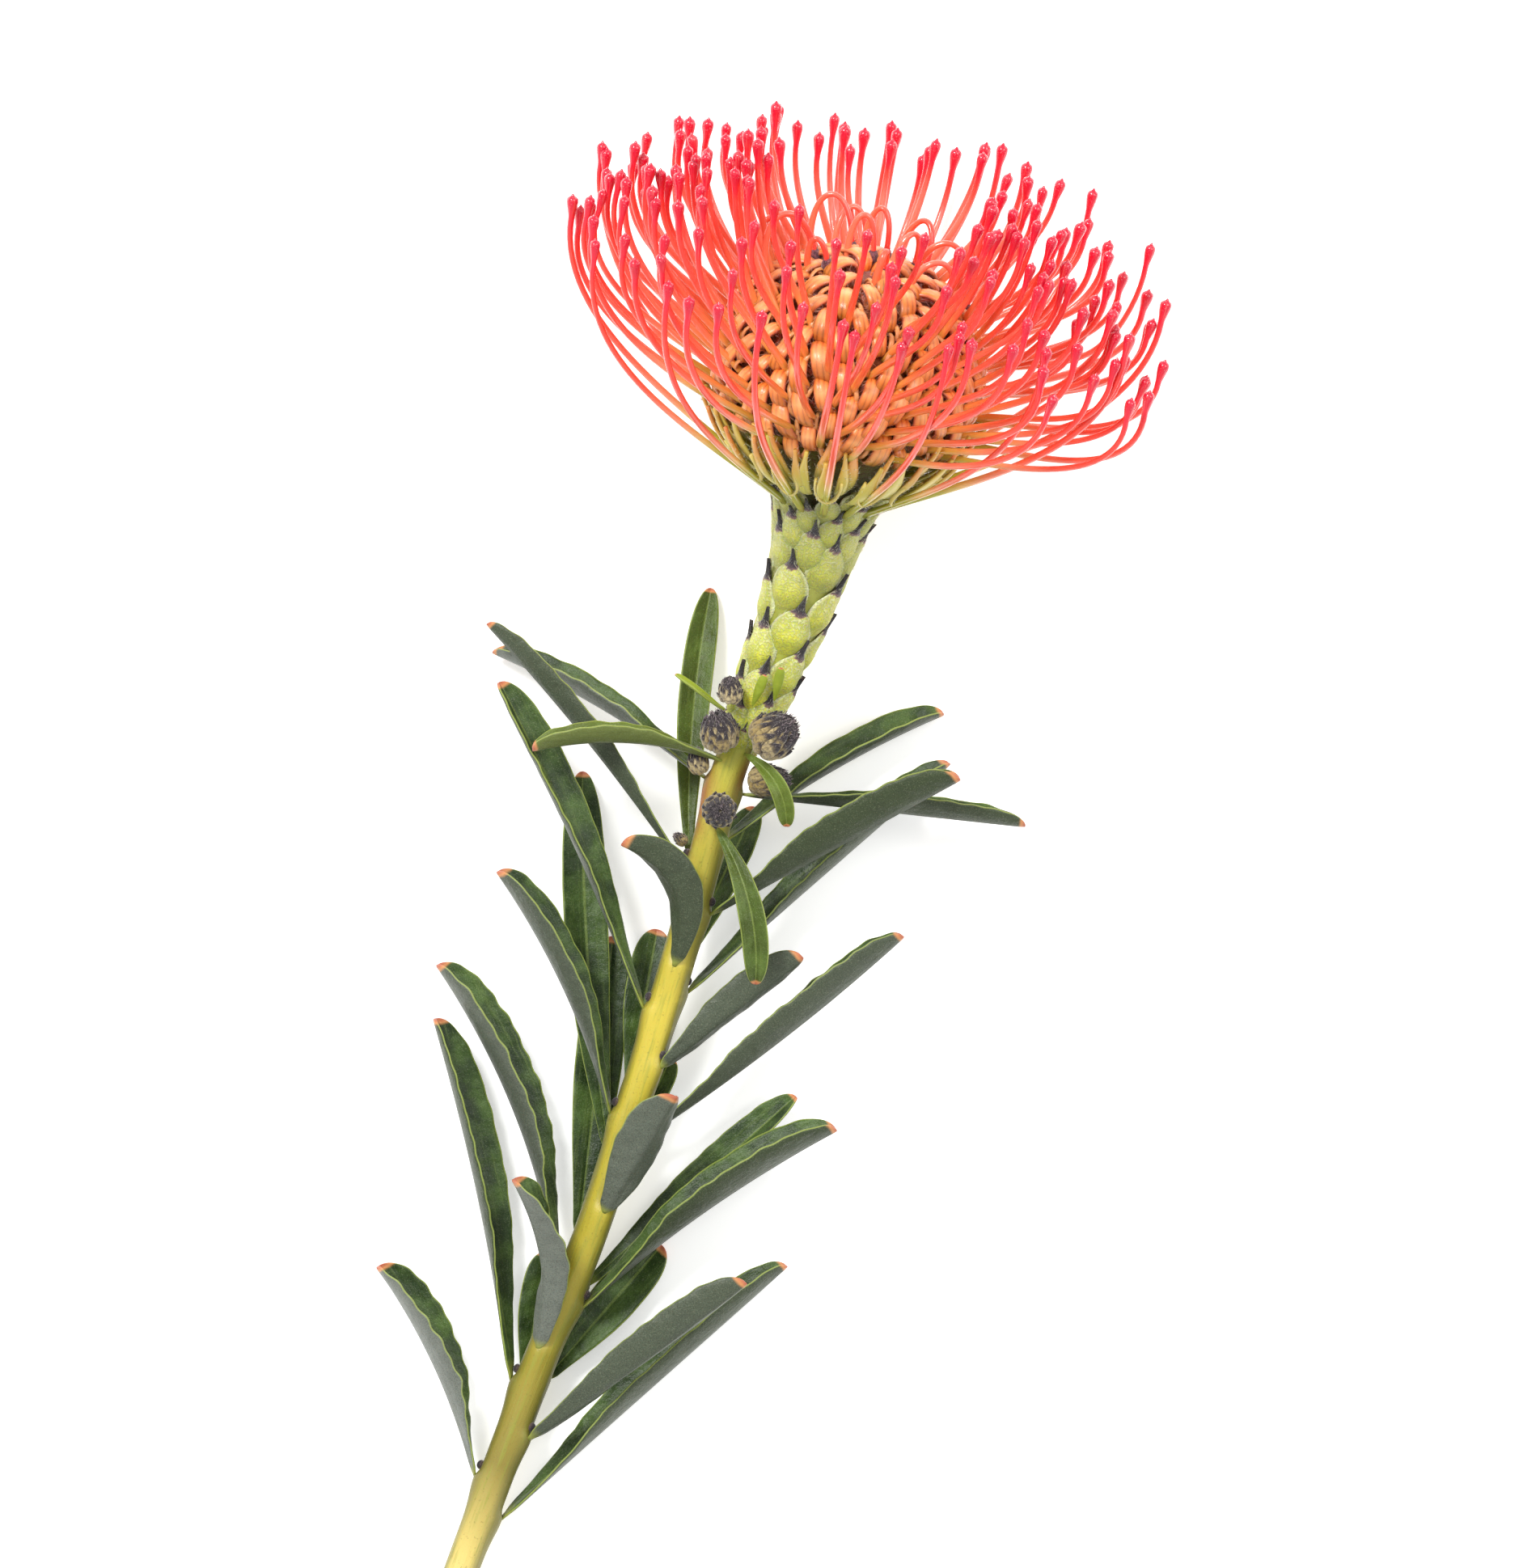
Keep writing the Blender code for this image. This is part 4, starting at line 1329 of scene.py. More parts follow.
@dataclass
class FlowerHead:
    """The dome of florets: each a ribbed ribbon that rolls outwards into a curl under its style."""

    head: Head
    count: int = 214
    bare: int = 25
    lowest: float = 0.18
    spread: float = 0.815
    table_steps: int = 600
    rounding: int = 30
    sink: float = 3.5
    curl_radius: float = 2.55
    curl_tall: float = 1.32
    curl_deep: float = 0.9
    curl_turns: float = 1.2
    stalk: float = 0.16
    foot: float = -1.5
    rise: float = 1.0
    band_width: float = 3.3
    band_thickness: float = 0.75
    rings: int = 21
    ribs: int = 3
    back_points: int = 5
    limb_rings: int = 17
    limb_turn: float = 430.0
    limb_radius: float = 1.9
    limb_aside: float = 2.5
    limb_half: tuple[float, float] = (0.62, 0.28)
    strap_count: int = 64
    strap_rings: int = 18
    strap_path: tuple[tuple[float, float], ...] = ((13.6, 5.6), (18.0, 7.2), (23.0, 11.0), (26.2, 18.0))
    strap_depth: float = 0.42
    hoop_count: int = 11
    hoop_end: tuple[float, float] = (22.6, 12.6)
    hoop_bow: tuple[float, float] = (16.2, 4.6)
    hoop_half: tuple[float, float] = (0.5, 0.3)
    curl_hairs: int = 35
    tip_hairs: int = 40
    strap_hairs: int = 44
    hoop_hairs: int = 70

    def __post_init__(self) -> None:
        """Tabulates the dome's profile, rounded by a running mean, from its foot to its top, by area."""
        radius, height = np.array(self.head.profile[:-2]).T[:, ::-1]
        knots = np.append(0.0, np.cumsum(np.hypot(np.diff(radius), np.diff(height))))
        fine = np.linspace(0, 1, self.table_steps) * knots[-1]
        window = np.ones(2 * self.rounding + 1) / (2 * self.rounding + 1)
        radius, height = (
            np.convolve(np.pad(np.interp(fine, knots, row), self.rounding, mode="edge"), window, "valid")
            for row in (radius, height)
        )
        normal = unit(np.stack([np.gradient(height), -np.gradient(radius)], axis=-1))
        self.table = np.array([radius, height, *normal.T])
        area = np.cumsum(radius)
        self.area = (area - area[0]) / (area[-1] - area[0])
        self.share = self.lowest + self.spread * (np.arange(self.count) + 0.5) / self.count

    def floret(self, share: Array) -> list[Array]:
        """Radius, height and outward normal of the dome at a share of its area from the foot to the top."""
        return [np.interp(share, self.area, row) for row in self.table]

    def lines(self, share: Array, azimuth: Array, along_n: Array, along_d: Array, skew: Array) -> Array:
        """Lines near the dome, from distances along its normal and down its side.

        Args:
            share, azimuth: where each line's floret stands, (count,).
            along_n, along_d: distances outwards and towards the head's foot, (count, steps).
            skew: how far each line turns sideways as it goes down, (count,).

        Returns:
            Points of the head's frame, (count, steps, 3).
        """
        radius, height, normal_r, normal_h = (row[:, None] for row in self.floret(share))
        line_r = radius - self.sink * normal_r + normal_r * along_n + normal_h * along_d
        line_h = height - self.sink * normal_h + normal_h * along_n - normal_r * along_d
        return ring_point(line_r, line_h, azimuth[:, None] + skew[:, None] * along_d / np.maximum(line_r, 4))

    def curls(self) -> Rolls:
        """Every floret's ribbon.

        In the plane of the head's axis the ribbon rises along the normal n, then turns round a centre that
        lies at the floret: -R(a) * cos a * tall towards the dome's foot, and R(a) * sin a * deep outwards,
        with an R that shrinks as it goes.  Its face has ribs of 1 - cos.

        Returns:
            The ribbons.
        """
        index = np.arange(self.bare, self.count)
        share, azimuth = self.share[self.bare:], index * GOLDEN_ANGLE
        size = (0.92 + 0.12 * np.sin(12.9 * index))[:, None]
        path = np.linspace(0, 1, self.rings)[None]
        wound = np.clip((path - self.stalk) / (1 - self.stalk), 0, 1)
        angle = 2 * math.pi * (self.curl_turns + 0.12 * np.sin(8.3 * index))[:, None] * wound
        curl = self.curl_radius * size * (1 - 0.45 * wound ** 1.3)
        climb = mix(self.foot, self.rise, np.clip(path / self.stalk, 0, 1))
        along_d = 0.4 - self.curl_tall * curl * np.cos(angle)
        lines = self.lines(share, azimuth, climb + self.curl_deep * curl * np.sin(angle), along_d,
                           0.4 * np.sin(5.7 * index))
        taper = mix(0.55, 1, smooth(path, 0.0, 0.25)) - 0.45 * smooth(path, 0.72, 1.0)
        taper = self.band_width / 2 * size * taper
        side, back = np.linspace(1, -1, 4 * self.ribs + 1), np.linspace(-1, 1, self.back_points)
        rib = 0.5 - 0.5 * np.cos(math.pi * self.ribs * (side + 1))
        face = self.band_thickness * mix(0.5, 1, np.sqrt(1 - 0.98 * side ** 2)) / 2 + 0.07 * rib
        sides = np.append(back, side)
        through = np.append(-0.4 * self.band_thickness * (1 - 0.4 * back ** 2), face) - 0.35 * sides ** 2
        points = sweep(lines, tangent(azimuth), sides * taper[..., None], through)
        # below is 0 at the top of a curl and 1 at its bottom: through the lit and low marks it paints shade,
        # dark and olive, on the curl's lower half.
        path, below = path[..., None], smooth(along_d, -0.4, 3.0)[..., None]
        low = np.clip(1.2 - (share - 0.26) / 0.09, 0, 1)[:, None, None] * mix(0.1, 1, below)
        return Rolls(self.head.world(points), {
            "rib": np.append(0 * back, rib ** 0.35), "share": path, "edge": smooth(np.abs(sides), 0.8, 1.0),
            "low": np.clip(low + 0.2 * below, 0, 1), "lit": 1 - 0.95 * below,
            # Painted highlight in a band across the ribbon where it turns over at its top.
            "crest": np.exp(-((path - 0.3) / 0.05) ** 2) * (1 - 0.8 * sides ** 2),
            "tone": (0.5 + 0.5 * np.sin(6.7 * index))[:, None, None],
        })

    def limbs(self) -> Rolls:
        """The floret's fourth lobe: a narrow strap that curls beside its ribbon, on a shrinking circle.

        Returns:
            The lobes.
        """
        index = np.arange(self.bare, self.count)
        share, azimuth = self.share[self.bare:], index * GOLDEN_ANGLE
        path = np.linspace(0, 1, self.limb_rings)[None]
        angle = math.radians(self.limb_turn) * path
        curl = (self.limb_radius + 0.4 * np.sin(2.3 * index))[:, None] * (1 - 0.35 * path)
        beside = self.limb_aside * np.sign(np.sin(6.1 * index)) / np.maximum(self.floret(share)[0], 5)
        lines = self.lines(share, azimuth + beside, 0.4 + curl * np.sin(angle), 0.6 - curl * np.cos(angle),
                           0.5 * np.sin(4.4 * index))
        cos, sin = circle(6)
        path = path[..., None]
        width, depth = self.limb_half
        width = width * (0.6 + 0.4 * np.sin(math.pi * path))
        points = sweep(lines, tangent(azimuth), width * cos, depth * sin)
        return Rolls(self.head.world(points), {
            "rib": 0.55 + 0.3 * sin, "share": 0.7 * path, "edge": 0.7, "low": 0.25 * (1 - path),
            # Painted light on the side lobes: a middle light level and a weak painted highlight.
            "lit": 0.6, "crest": 0.3, "tone": 0.8,
        })

    def straps(self) -> Rolls:
        """Green straps of the lowest florets, side by side over the cone under the head, tapered at the end.

        Returns:
            The straps, along Bezier lines.
        """
        index = np.arange(self.strap_count)
        azimuth = 2 * math.pi * (index + 0.35 * np.sin(3.1 * index)) / self.strap_count
        odd = (index % 3) * 1.1 + 0.5 * np.sin(2.7 * index)
        drift = ((0.0, 1.0), (0.0, 1.0), (0.4, 1.2), (0.3, 1.6))
        turns = (0.0, 0.0, 0.0, 0.05 * np.sin(5.1 * index))
        lines = bezier(*(
            ring_point(radius + out * odd, height + up * odd, azimuth + turn)
            for (radius, height), (out, up), turn in zip(self.strap_path, drift, turns)
        ), self.strap_rings)
        cos, sin = circle(10)
        path = np.linspace(0, 1, self.strap_rings)[:, None]
        width = mix(0.8, 1.35, smooth(path, 0, 0.4)) * (1 - 0.7 * smooth(path, 0.6, 1.0))
        width = width * (1 + 0.2 * np.sin(1.9 * index))[:, None, None]
        points = sweep(lines, tangent(azimuth), width * cos, self.strap_depth * sin)
        fade = (0.45 + 0.35 * np.sin(2.3 * index))[:, None, None]
        return Rolls(self.head.world(points), {
            "rib": 0.5 - 0.5 * sin, "share": 0.6 * path, "edge": 0.6 * smooth(path, 0.7, 1.0),
            # Painted light on the straps: a flat light level and no painted highlight.
            "low": 1 - fade * smooth(path, 0.35, 1.0), "lit": 0.8, "crest": 0.0, "tone": 0.6,
        })

    def hoops(self) -> Rolls:
        """Split sheaths round the feet of the lowest styles: U-shaped hoops of a thin pale strap.

        Returns:
            The hoops, along Bezier lines.
        """
        index = np.arange(self.hoop_count) - self.hoop_count // 2
        azimuth = -math.pi / 2 + index * math.pi / 8
        wide = (2.0 + 0.3 * np.sin(3.3 * index)) / 19
        tall = 0.9 * np.sin(2.1 * index)
        end_r, end_h = self.hoop_end
        lines = bezier(
            ring_point(end_r + tall, end_h + tall, azimuth - wide),
            ring_point(*self.hoop_bow, azimuth - 1.6 * wide),
            ring_point(*self.hoop_bow, azimuth + 1.6 * wide),
            ring_point(end_r + tall, end_h + tall, azimuth + wide), self.strap_rings,
        )
        cos, sin = circle(8)
        width, depth = self.hoop_half
        points = sweep(lines, ring_point(1.0, -0.9, azimuth)[:, None], width * cos, depth * sin)
        path = np.linspace(0, 1, self.strap_rings)[:, None]
        return Rolls(self.head.world(points), {
            # Painted light on the hoops: fully lit, with a half-strength painted highlight all over.
            "rib": 0.8 + 0.2 * cos, "share": 0.3 * path, "edge": 0.0, "low": 0.95, "lit": 1.0, "crest": 0.5,
            "tone": 0.0,
        })

    def hair_on(self, rolls: Rolls, each: int, stretch: tuple[float, float], length: float,
                seed: int) -> Rolls:
        """Hairs on the edges of ribbons.

        Args:
            rolls: the ribbons.
            each: hairs on each one.
            stretch: the part of their length that has hairs.
            length: a hair's mean length.
            seed: for the random draws.

        Returns:
            The hairs.
        """
        chance = np.random.default_rng(seed)
        total, rings, sides = rolls.points.shape[:3]
        ribbon = np.repeat(np.arange(total), each)
        row = (rings * (stretch[0] + (stretch[1] - stretch[0]) * chance.random(total * each))).astype(int)
        spread = chance.integers(-2, 2, total * each)
        second_edge = self.back_points if sides > 12 else sides // 2
        column = np.where(chance.random(total * each) < 0.5, spread, second_edge + spread) % sides
        feet = rolls.points[ribbon, row, column]
        forward = unit(rolls.points[ribbon, np.minimum(row + 1, rings - 1), column] - feet)
        out = unit(feet - rolls.points[ribbon, row].mean(axis=1))
        ways = unit(out + 0.5 * forward + chance.normal(0, 0.4, feet.shape))
        return spikes(feet, ways, forward * 0.5, length * (0.5 + chance.random(len(feet))), 0.05)

    def core(self) -> Rolls:
        """The felted core that the florets grow on: the dome's profile, sunk and turned.

        Returns:
            One closed roll.
        """
        pick = np.linspace(0, self.table.shape[1] - 1, 60).astype(int)
        radius, height, normal_r, normal_h = self.table[:, pick]
        radius = np.append(6.0, np.maximum(radius - self.sink * normal_r, 0.3))[:, None]
        height = np.append(-3.0, height - self.sink * normal_h)[:, None]
        points = self.head.world(ring_point(radius, height, 2 * math.pi * np.arange(64) / 64))[None]
        return Rolls(points, {"share": np.linspace(0, 1, len(radius))[:, None]})

    def build(self) -> None:
        """Makes the core, the curls, the straps, the hoops and their hairs."""
        petal = FloretSkin().material()
        add_piece("head_core", self.core(), CoreSkin().material(), ("flower_head",))
        curls, straps, hoops = self.curls(), self.straps(), self.hoops()
        for name, rolls in (("limbs", self.limbs()), ("curls", curls), ("straps", straps), ("hoops", hoops)):
            add_piece(f"floret_{name}", rolls, petal)
        pale, dark, down = (hair.material() for hair in (Hair.FLORET, Hair.DARK, Hair.DOWN))
        for name, rolls, each, stretch, length, seed, finish in (
            ("curl_hair", curls, self.curl_hairs, (0.2, 0.8), 0.7, 3, pale),
            ("curl_tip_hair", curls, self.tip_hairs, (0.66, 1.0), 1.05, 4, dark),
            ("strap_hair", straps, self.strap_hairs, (0.1, 0.95), 0.55, 6, down),
            ("hoop_hair", hoops, self.hoop_hairs, (0.05, 0.95), 0.4, 7, down),
        ):
            add_piece(name, self.hair_on(rolls, each, stretch, length, seed), finish)


@dataclass
class Styles:
    """The long styles, each an S-curved stalk that thins to a neck and ends in a pollen presenter."""

    head: Head
    dome: FlowerHead
    outer_count: int = 16
    inner_count: int = 168
    gather: float = 0.36
    forward: float = 0.3
    back_turn: float = 0.1
    front_turn: float = 0.14
    right_reach: float = 3.6
    right_sag: float = 12.0
    front_reach: float = 41.8
    front_draw: float = 12.0
    flat_reach: float = 50.8
    skyline: float = 67.2
    foot: tuple[float, float] = (15.0, 4.3)
    reach: float = 54.5
    height: float = 46.0
    back_height: float = 6.0
    handles: tuple[float, float, float] = (0.3, 0.19, 0.5)
    inner_reach: float = 21.0
    inner_height: float = 60.0
    above_curl: float = 2.8
    rises: tuple[float, float] = (18.0, 74.0)
    tilts: tuple[float, float] = (-2.0, 8.0)
    scatter: tuple[float, ...] = (0.045, 1.3, 1.6, 3.6, 4.0)
    foot_width: float = 0.84
    foot_depth: float = 0.7
    neck_radius: float = 0.54
    sides: int = 8
    stalk_rings: int = 30
    tip_length: float = 4.4
    tip_profile: tuple[tuple[float, float], ...] = (
        (0.0, 0.6), (0.12, 0.68), (0.27, 0.8), (0.42, 0.93), (0.56, 1.03), (0.68, 1.06), (0.78, 1.0),
        (0.85, 0.76), (0.89, 0.44), (0.94, 0.27), (0.98, 0.19), (1.0, 0.1),
    )

    def ring(self) -> Rolls:
        """The outer ring, with a shorter reach in front and a higher tip at the back.

        Returns:
            The styles, in the order of their CAD nodes.
        """
        turn = 2 * math.pi * np.arange(self.outer_count) / self.outer_count
        azimuth = math.pi / 2 + turn
        back, front = np.maximum(np.cos(turn), 0), np.maximum(-np.cos(turn), 0)
        reach = self.reach - self.front_draw * front ** 2
        reach = np.minimum(reach, self.flat_reach / np.maximum(back, 1e-6))
        top = self.height + self.back_height * back
        outwards, upwards, tipwards = self.handles
        foot_r, foot_h = self.foot
        control = (
            ring_point(foot_r - 4.5, foot_h - 3.0, azimuth),
            ring_point(mix(foot_r, reach, outwards), mix(foot_h, top, upwards), azimuth),
            ring_point(reach, mix(foot_h, top, tipwards), azimuth),
            ring_point(reach, top, azimuth),
        )
        return self.rolls(control, azimuth, 0 * azimuth)

    def inner(self) -> Rolls:
        """The other stalks.

        Each leaves the dome just above its floret's curl.  Its tip's bearing is the floret's azimuth less
        gather * sin(2 * azimuth), which draws the tips together on the head's two sides.  Bearing, reach,
        height, skyline and tilt scatter by normal draws.

        Returns:
            The styles, from the dome's foot to its top.
        """
        count = self.inner_count
        chance = np.random.default_rng(8)
        turn_by, reach_by, top_by, skyline_by, tilt_by = self.scatter
        share, azimuth = (np.arange(count) + 0.5) / count, np.arange(count) * GOLDEN_ANGLE
        radius, height, normal_r, normal_h = self.dome.floret(self.dome.share[:count])
        foot_r = radius - self.dome.sink * normal_r - self.above_curl * normal_h
        foot_h = height - self.dome.sink * normal_h + self.above_curl * normal_r
        bearing = azimuth - self.gather * np.sin(2 * azimuth) - self.forward * np.maximum(np.cos(azimuth), 0)
        bearing = bearing + self.back_turn * np.maximum(np.sin(azimuth), 0) ** 2
        bearing = bearing + self.front_turn * np.maximum(-np.sin(azimuth), 0) ** 2
        bearing = bearing + chance.normal(0, turn_by, count)
        back, front = np.maximum(np.sin(bearing), 0), np.maximum(-np.sin(bearing), 0)
        right = np.maximum(np.cos(bearing), 0) * (1 - share)
        pull = share ** 1.15
        reach = mix(self.reach - 0.8, self.inner_reach, pull) + chance.normal(0, reach_by, count)
        reach = np.minimum(reach, self.front_reach / np.maximum(front, 1e-6))
        reach = np.minimum(reach, self.flat_reach / np.maximum(back, 1e-6)) + self.right_reach * right ** 2
        top = mix(self.height - 1, self.inner_height, 1 - (1 - pull) ** 1.6) + chance.normal(0, top_by, count)
        top = top + self.back_height * back * (1 - share) - 3.0 * front * share - self.right_sag * right ** 2
        skyline = self.skyline - np.abs(chance.normal(0, skyline_by, count))
        rise_back, rise_up = self.head.turn[1, 1:]
        top = np.minimum(top, (skyline - rise_back * reach * np.sin(bearing)) / rise_up)
        rise = np.radians(mix(*self.rises, share) - 9 * right)
        span = np.hypot(reach - foot_r, top - foot_h)
        tilt = np.radians(mix(*self.tilts, share) + chance.normal(0, tilt_by, count))
        control = (
            ring_point(foot_r, foot_h, azimuth),
            ring_point(foot_r + 0.3 * span * np.cos(rise), foot_h + 0.3 * span * np.sin(rise),
                       mix(azimuth, bearing, 0.35)),
            ring_point(reach - 0.36 * span * np.sin(tilt), top - 0.36 * span * np.cos(tilt), bearing),
            ring_point(reach, top, bearing),
        )
        return self.rolls(control, azimuth, share)

    def rolls(self, control: tuple[Array, ...], azimuth: Array, share: Array) -> Rolls:
        """Stalks and presenters: a flattened oval that turns round at the neck, then the tip's profile.

        Args:
            control: each stalk's four control points in the head's frame, each (count, 3).
            azimuth: where each one's foot is.
            share: how far up the dome it stands.

        Returns:
            The styles, kept above the surface that the flower lies on.
        """
        stalk = self.head.world(bezier(*control, self.stalk_rings))
        stalk[..., 2] = np.maximum(stalk[..., 2], self.foot_depth + 0.2)
        way = unit(stalk[:, -1] - stalk[:, -3])
        steps, radii = np.array(self.tip_profile).T
        neck, steps, radii = radii[0], steps[1:, None], radii[1:]
        lines = np.concatenate([stalk, stalk[:, -1:] + way[:, None] * steps * self.tip_length], axis=1)
        path = np.linspace(0, 1, self.stalk_rings)
        flare = (neck - self.neck_radius) * smooth(path, 0.93, 1.0)
        width, depth = (np.append(mix(foot, self.neck_radius, path ** 0.8) + flare, radii)[:, None]
                        for foot in (self.foot_width, self.foot_depth))
        cos, sin = circle(self.sides)
        number = np.arange(len(lines))[:, None, None]
        size = 1 + 0.07 * np.sin(17.3 * number)
        points = sweep(lines, self.head.ways(tangent(azimuth)), width * cos * size, depth * sin * size)
        path = path[:, None]
        run = np.vstack([50 * path, 50 + self.tip_length * steps])
        # The tone mark differs at random, and is raised on the side of the head that faces the floor, where
        # the stalks are paled as painted backlight.
        back = 0.8 * np.sin(azimuth)[:, None, None]
        return Rolls(points, {
            "share": np.vstack([0.93 * path, 0.93 + 0.07 * steps]),
            "grain": stacked(cos + 3 * number, sin, run),
            "low": np.clip(1 - share / 0.25, 0, 1)[:, None, None],
            "tone": np.clip(0.2 + 0.2 * np.sin(7.7 * number) + back, 0, 1),
        })

    def build(self) -> None:
        """Makes the outer ring, for its CAD nodes, and the rest of the styles."""
        wax = StyleWax().material()
        nodes = tuple(f"style_{index:02d}" for index in range(1, self.outer_count + 1))
        add_piece("outer_styles", self.ring(), wax, nodes)
        add_piece("inner_styles", self.inner(), wax)


@dataclass(frozen=True)
class Loop:
    """One arch over the head's top: its middle, its span and height, and its turn from the +X side."""

    x: float
    y: float
    span: float
    height: float
    turn: float


LOOPS = (
    Loop(-14.5, 6.0, 9.6, 8.0, 4.0), Loop(-13.2, 1.0, 8.4, 9.0, 22.0), Loop(-6.8, 9.0, 7.4, 9.5, -8.0),
    Loop(-1.6, 3.0, 4.6, 7.2, 6.0), Loop(0.8, 7.0, 4.6, 7.6, -20.0), Loop(6.2, 1.5, 5.2, 6.2, 40.0),
    Loop(12.5, 4.5, 7.8, 6.8, -8.0), Loop(11.5, -3.5, 7.0, 5.6, 14.0), Loop(-8.6, -3.0, 3.4, 4.4, -10.0),
    Loop(17.0, 2.0, 5.0, 5.0, 60.0), Loop(2.5, -5.5, 4.0, 4.6, 75.0), Loop(-3.5, 14.0, 6.0, 7.0, 20.0),
    Loop(7.5, 12.0, 6.4, 7.4, -35.0),
)


@dataclass
class CentreLoops:
    """Styles whose tips are still held: arches over the top of the head, ending in dark woolly clubs."""

    head: Head
    radius: float = 0.62
    foot_radius: float = 0.78
    rings: int = 40
    sides: int = 10
    club_profile: tuple[tuple[float, float], ...] = (
        (0.0, 0.5), (0.1, 0.8), (0.3, 1.05), (0.55, 1.1), (0.8, 0.85), (0.93, 0.5), (1.0, 0.2),
    )
    club_length: float = 3.4
    club_hairs: int = 40
    sink: float = 2.6
    flatten: float = 0.88
    handle: float = 1.34

    def on_dome(self, spots: Array) -> Array:
        """Points of the head's frame on the florets, over plan places (count, 2)."""
        radius, height = np.array(self.head.profile[:6]).T
        return np.column_stack([spots, np.interp(np.linalg.norm(spots, axis=-1), radius, height) - self.sink])

    def build(self) -> None:
        """Makes the arches, Bezier lines whose handles lean out from the head's axis, and their clubs."""
        table = np.array([(loop.x, loop.y, loop.span, loop.height, loop.turn) for loop in LOOPS])
        middle, span, rise, turn = np.split(table, (2, 3, 4), axis=1)
        half = np.hstack([np.cos(np.radians(turn)), np.sin(np.radians(turn))]) * span / 2
        start, end = self.on_dome(middle - half), self.on_dome(middle + half)
        tall = (rise * self.flatten + self.sink) * self.handle
        way = np.hstack([middle / 40, np.ones_like(span)]) * tall
        wide = np.hstack([half, 0 * span]) * 0.3
        lines = bezier(start, start + way - wide, end + way + wide, end, self.rings)
        cos, sin = circle(self.sides)
        aside = np.hstack([-half[:, 1:], half[:, :1], 0 * span])[:, None]
        path = np.linspace(0, 1, self.rings)[:, None]
        thick = mix(self.foot_radius, self.radius, smooth(path, 0, 0.5))
        points = self.head.world(sweep(lines, aside, thick * cos, thick * 0.85 * sin))
        number = np.arange(len(LOOPS))[:, None, None]
        marks = {"share": 0.25 + 0.62 * path, "low": 0.0, "tone": 0.35 + 0.3 * np.sin(3 * number),
                 "grain": stacked(cos + 3 * number, sin, 30 * path)}
        add_piece("centre_loops", Rolls(points, marks), StyleWax().material())
        self.clubs(lines)

    def clubs(self, lines: Array) -> None:
        """Makes the held tips: woolly clubs where the arches come down.

        Args:
            lines: the arches' centre lines, (count, rings, 3).
        """
        steps, radii = np.array(self.club_profile).T[..., None]
        way = unit(lines[:, -1] - lines[:, -3])[:, None]
        cos, sin = circle(self.sides)
        axis = lines[:, -1:] + way * (steps - 0.75) * self.club_length
        points = self.head.world(sweep(axis, np.array([1.0, 0.0, 0.0]), radii * cos, radii * sin))
        add_piece("loop_clubs", Rolls(points, {}), ClubSkin().material())
        chance = np.random.default_rng(17)
        hairs = self.club_hairs * len(LOOPS)
        club, ring, column = (chance.integers(0, top, hairs) for top in points.shape[:3])
        feet = points[club, ring, column]
        out = unit(feet - points[club, ring].mean(axis=1))
        ways = unit(out + self.head.ways(np.array([0.0, 0.0, 0.8])) + chance.normal(0, 0.3, feet.shape))
        wool = spikes(feet, ways, 0.2 * out, 0.5 + 0.8 * chance.random(hairs), 0.04)
        add_piece("club_wool", wool, Hair.DARK.material())


# ---------------------------------------------------------------- studio


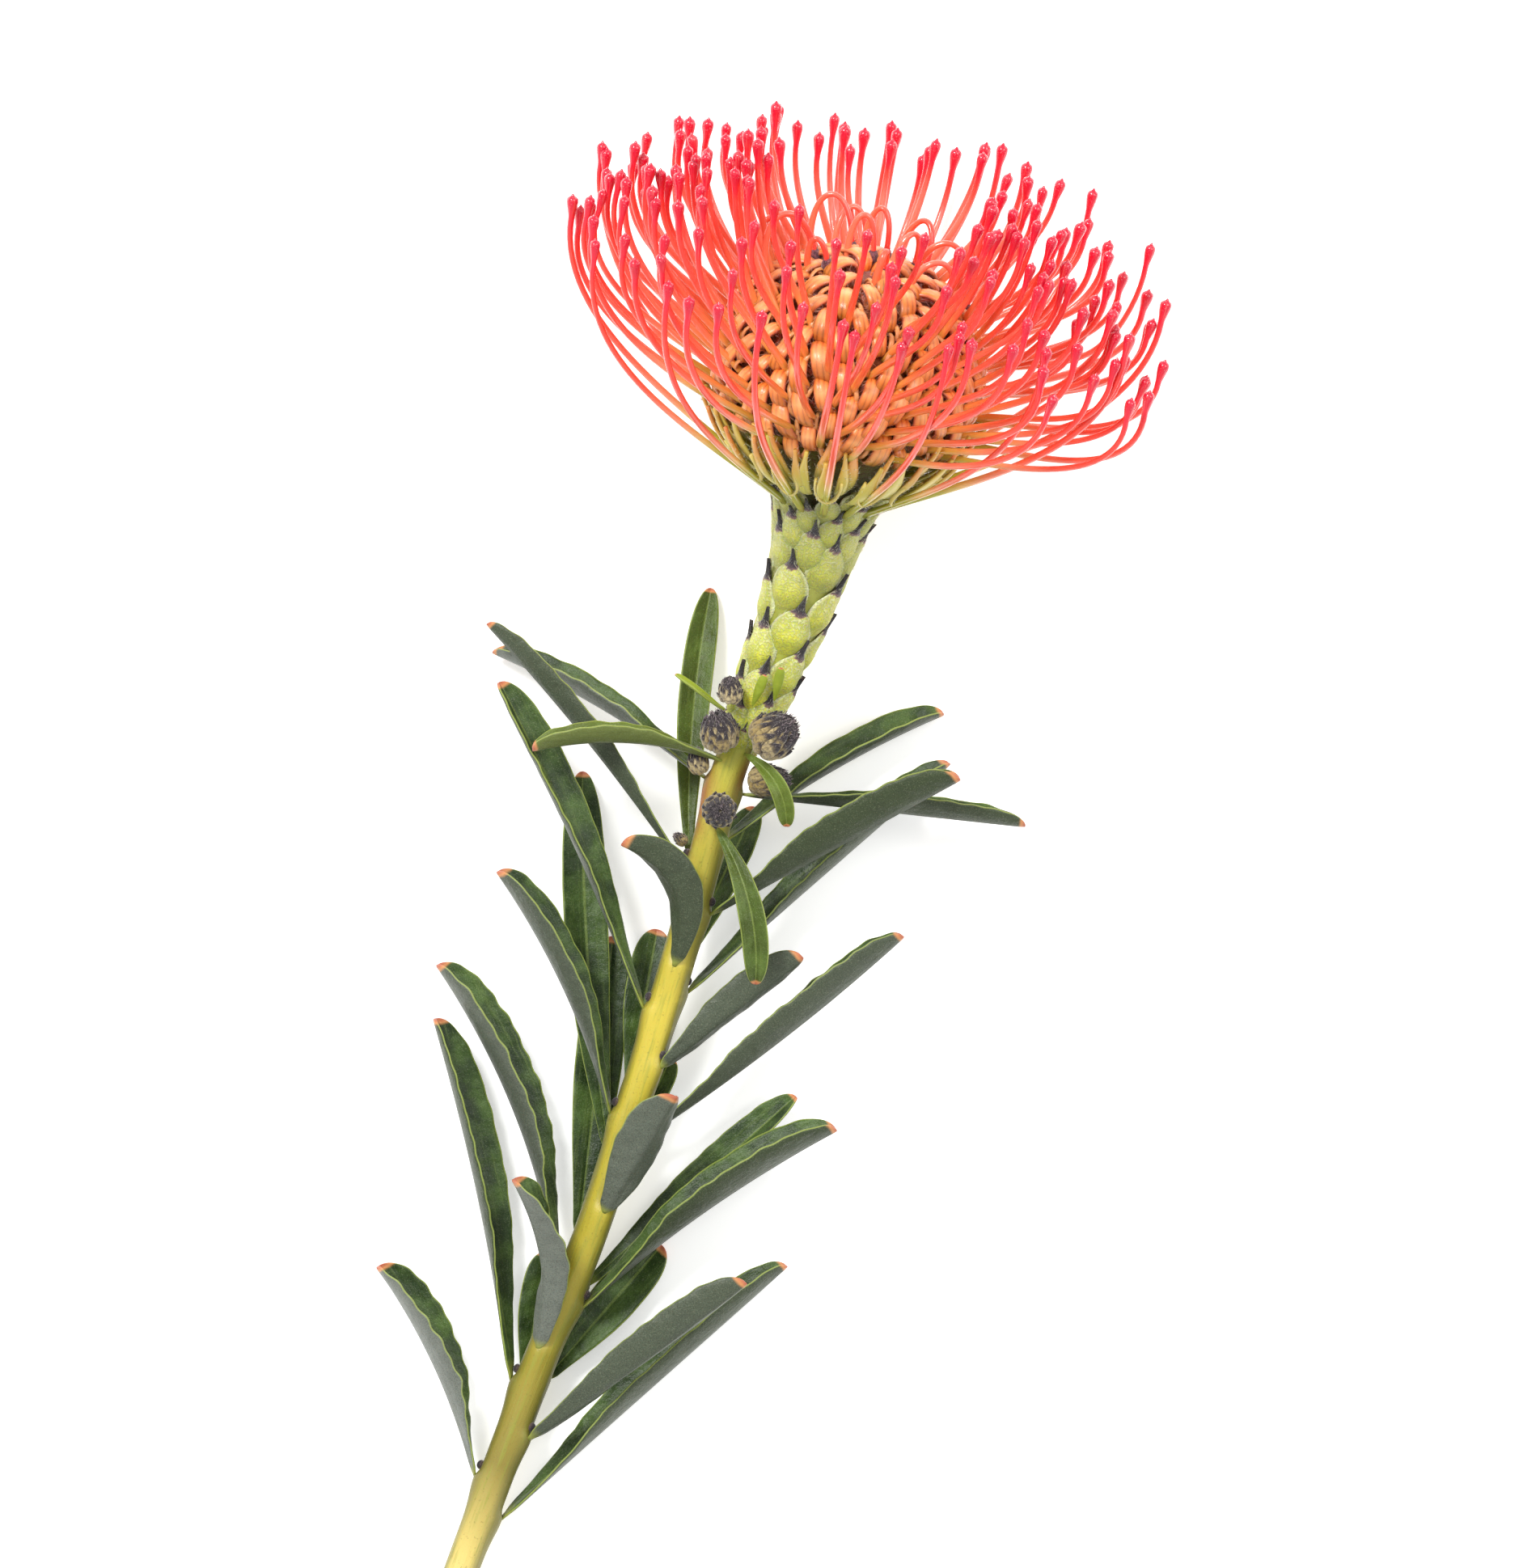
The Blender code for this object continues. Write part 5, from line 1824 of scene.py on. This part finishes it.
@dataclass
class Studio:
    """White floor, soft lights and the camera, which looks straight down through a long lens."""

    head: Head
    floor_size: float = 4.0
    floor_colour: str = "#FBFBFA"
    floor_glow: float = 0.35
    camera_height: float = 2.5
    camera_offset: tuple[float, float] = (-10.2, -52.1)
    view_height: float = 290.85
    sensor: float = 36.0
    sky: float = 0.74
    key: float = 25.0
    fill: float = 9.0

    def place(self, name: str, data: bpy.types.ID, spot: tuple[float, ...] = (0, 0, 0)) -> bpy.types.Object:
        """Puts a new object into the scene.

        Args:
            name: its name.
            data: its mesh, light or camera.
            spot: where it stands, in metres.

        Returns:
            The object.
        """
        thing = bpy.data.objects.new(name, data)
        thing.location = spot
        bpy.context.scene.collection.objects.link(thing)
        return thing

    def floor(self) -> None:
        """Plain pale floor on which the flower lies."""
        half = self.floor_size / 2
        mesh = bpy.data.meshes.new("floor")
        corners = [(-half, -half, 0), (half, -half, 0), (half, half, 0), (-half, half, 0)]
        mesh.from_pydata(corners, [], [(0, 1, 2, 3)])
        # Matt white paper: no gloss, and a slight glow that keeps it white under soft light.
        paint = Paint("floor_matt_paper", 0.9, base_color=linear(self.floor_colour),
                      emission_color=WHITE, emission_strength=self.floor_glow)
        mesh.materials.append(paint.material)
        self.place("floor", mesh)

    def lamp(self, name: str, spot: tuple[float, float, float], size: float, power: float) -> None:
        """Square soft light that faces the flower.

        Args:
            name: its name.
            spot: where it hangs, in metres.
            size: its side in metres.
            power: in watts.
        """
        data = bpy.data.lights.new(name, "AREA")
        data.size, data.energy = size, power
        self.place(name, data, spot).rotation_euler = (-Vector(spot)).to_track_quat("-Z", "Y").to_euler()

    def build(self) -> None:
        """Makes the floor, the lights, the sky and the camera."""
        self.floor()
        self.lamp("key", (-0.7, 0.9, 1.4), 0.45, self.key)
        self.lamp("fill", (1.0, 0.4, 1.2), 0.8, self.fill)
        world = bpy.data.worlds.new("soft_white")
        world.use_nodes = True
        sky = world.node_tree.nodes["Background"].inputs
        sky["Color"].default_value, sky["Strength"].default_value = WHITE, self.sky
        bpy.context.scene.world = world
        bpy.context.scene.view_settings.view_transform = "Standard"
        data = bpy.data.cameras.new("camera")
        data.sensor_width = self.sensor
        data.lens = self.sensor * self.camera_height / (self.view_height * MM)
        data.clip_start, data.clip_end = 0.05, 20
        x, y = (self.head.base[:2] + self.camera_offset) * MM
        bpy.context.scene.camera = self.place("camera", data, (x, y, self.camera_height))


def main() -> None:
    """Builds the flower's pieces in order, from the stem to the head, and then the studio."""
    logging.basicConfig(level=logging.INFO, format="%(name)s: %(message)s")
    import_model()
    head = Head()
    line, dome = StemLine(head), FlowerHead(head)
    for part in (Studio(head), Stem(line), Neck(line), Foliage(line), SideBuds(line), dome,
                 Styles(head, dome), CentreLoops(head)):
        part.build()
    bpy.context.view_layer.update()


if __name__ == "__main__":
    main()
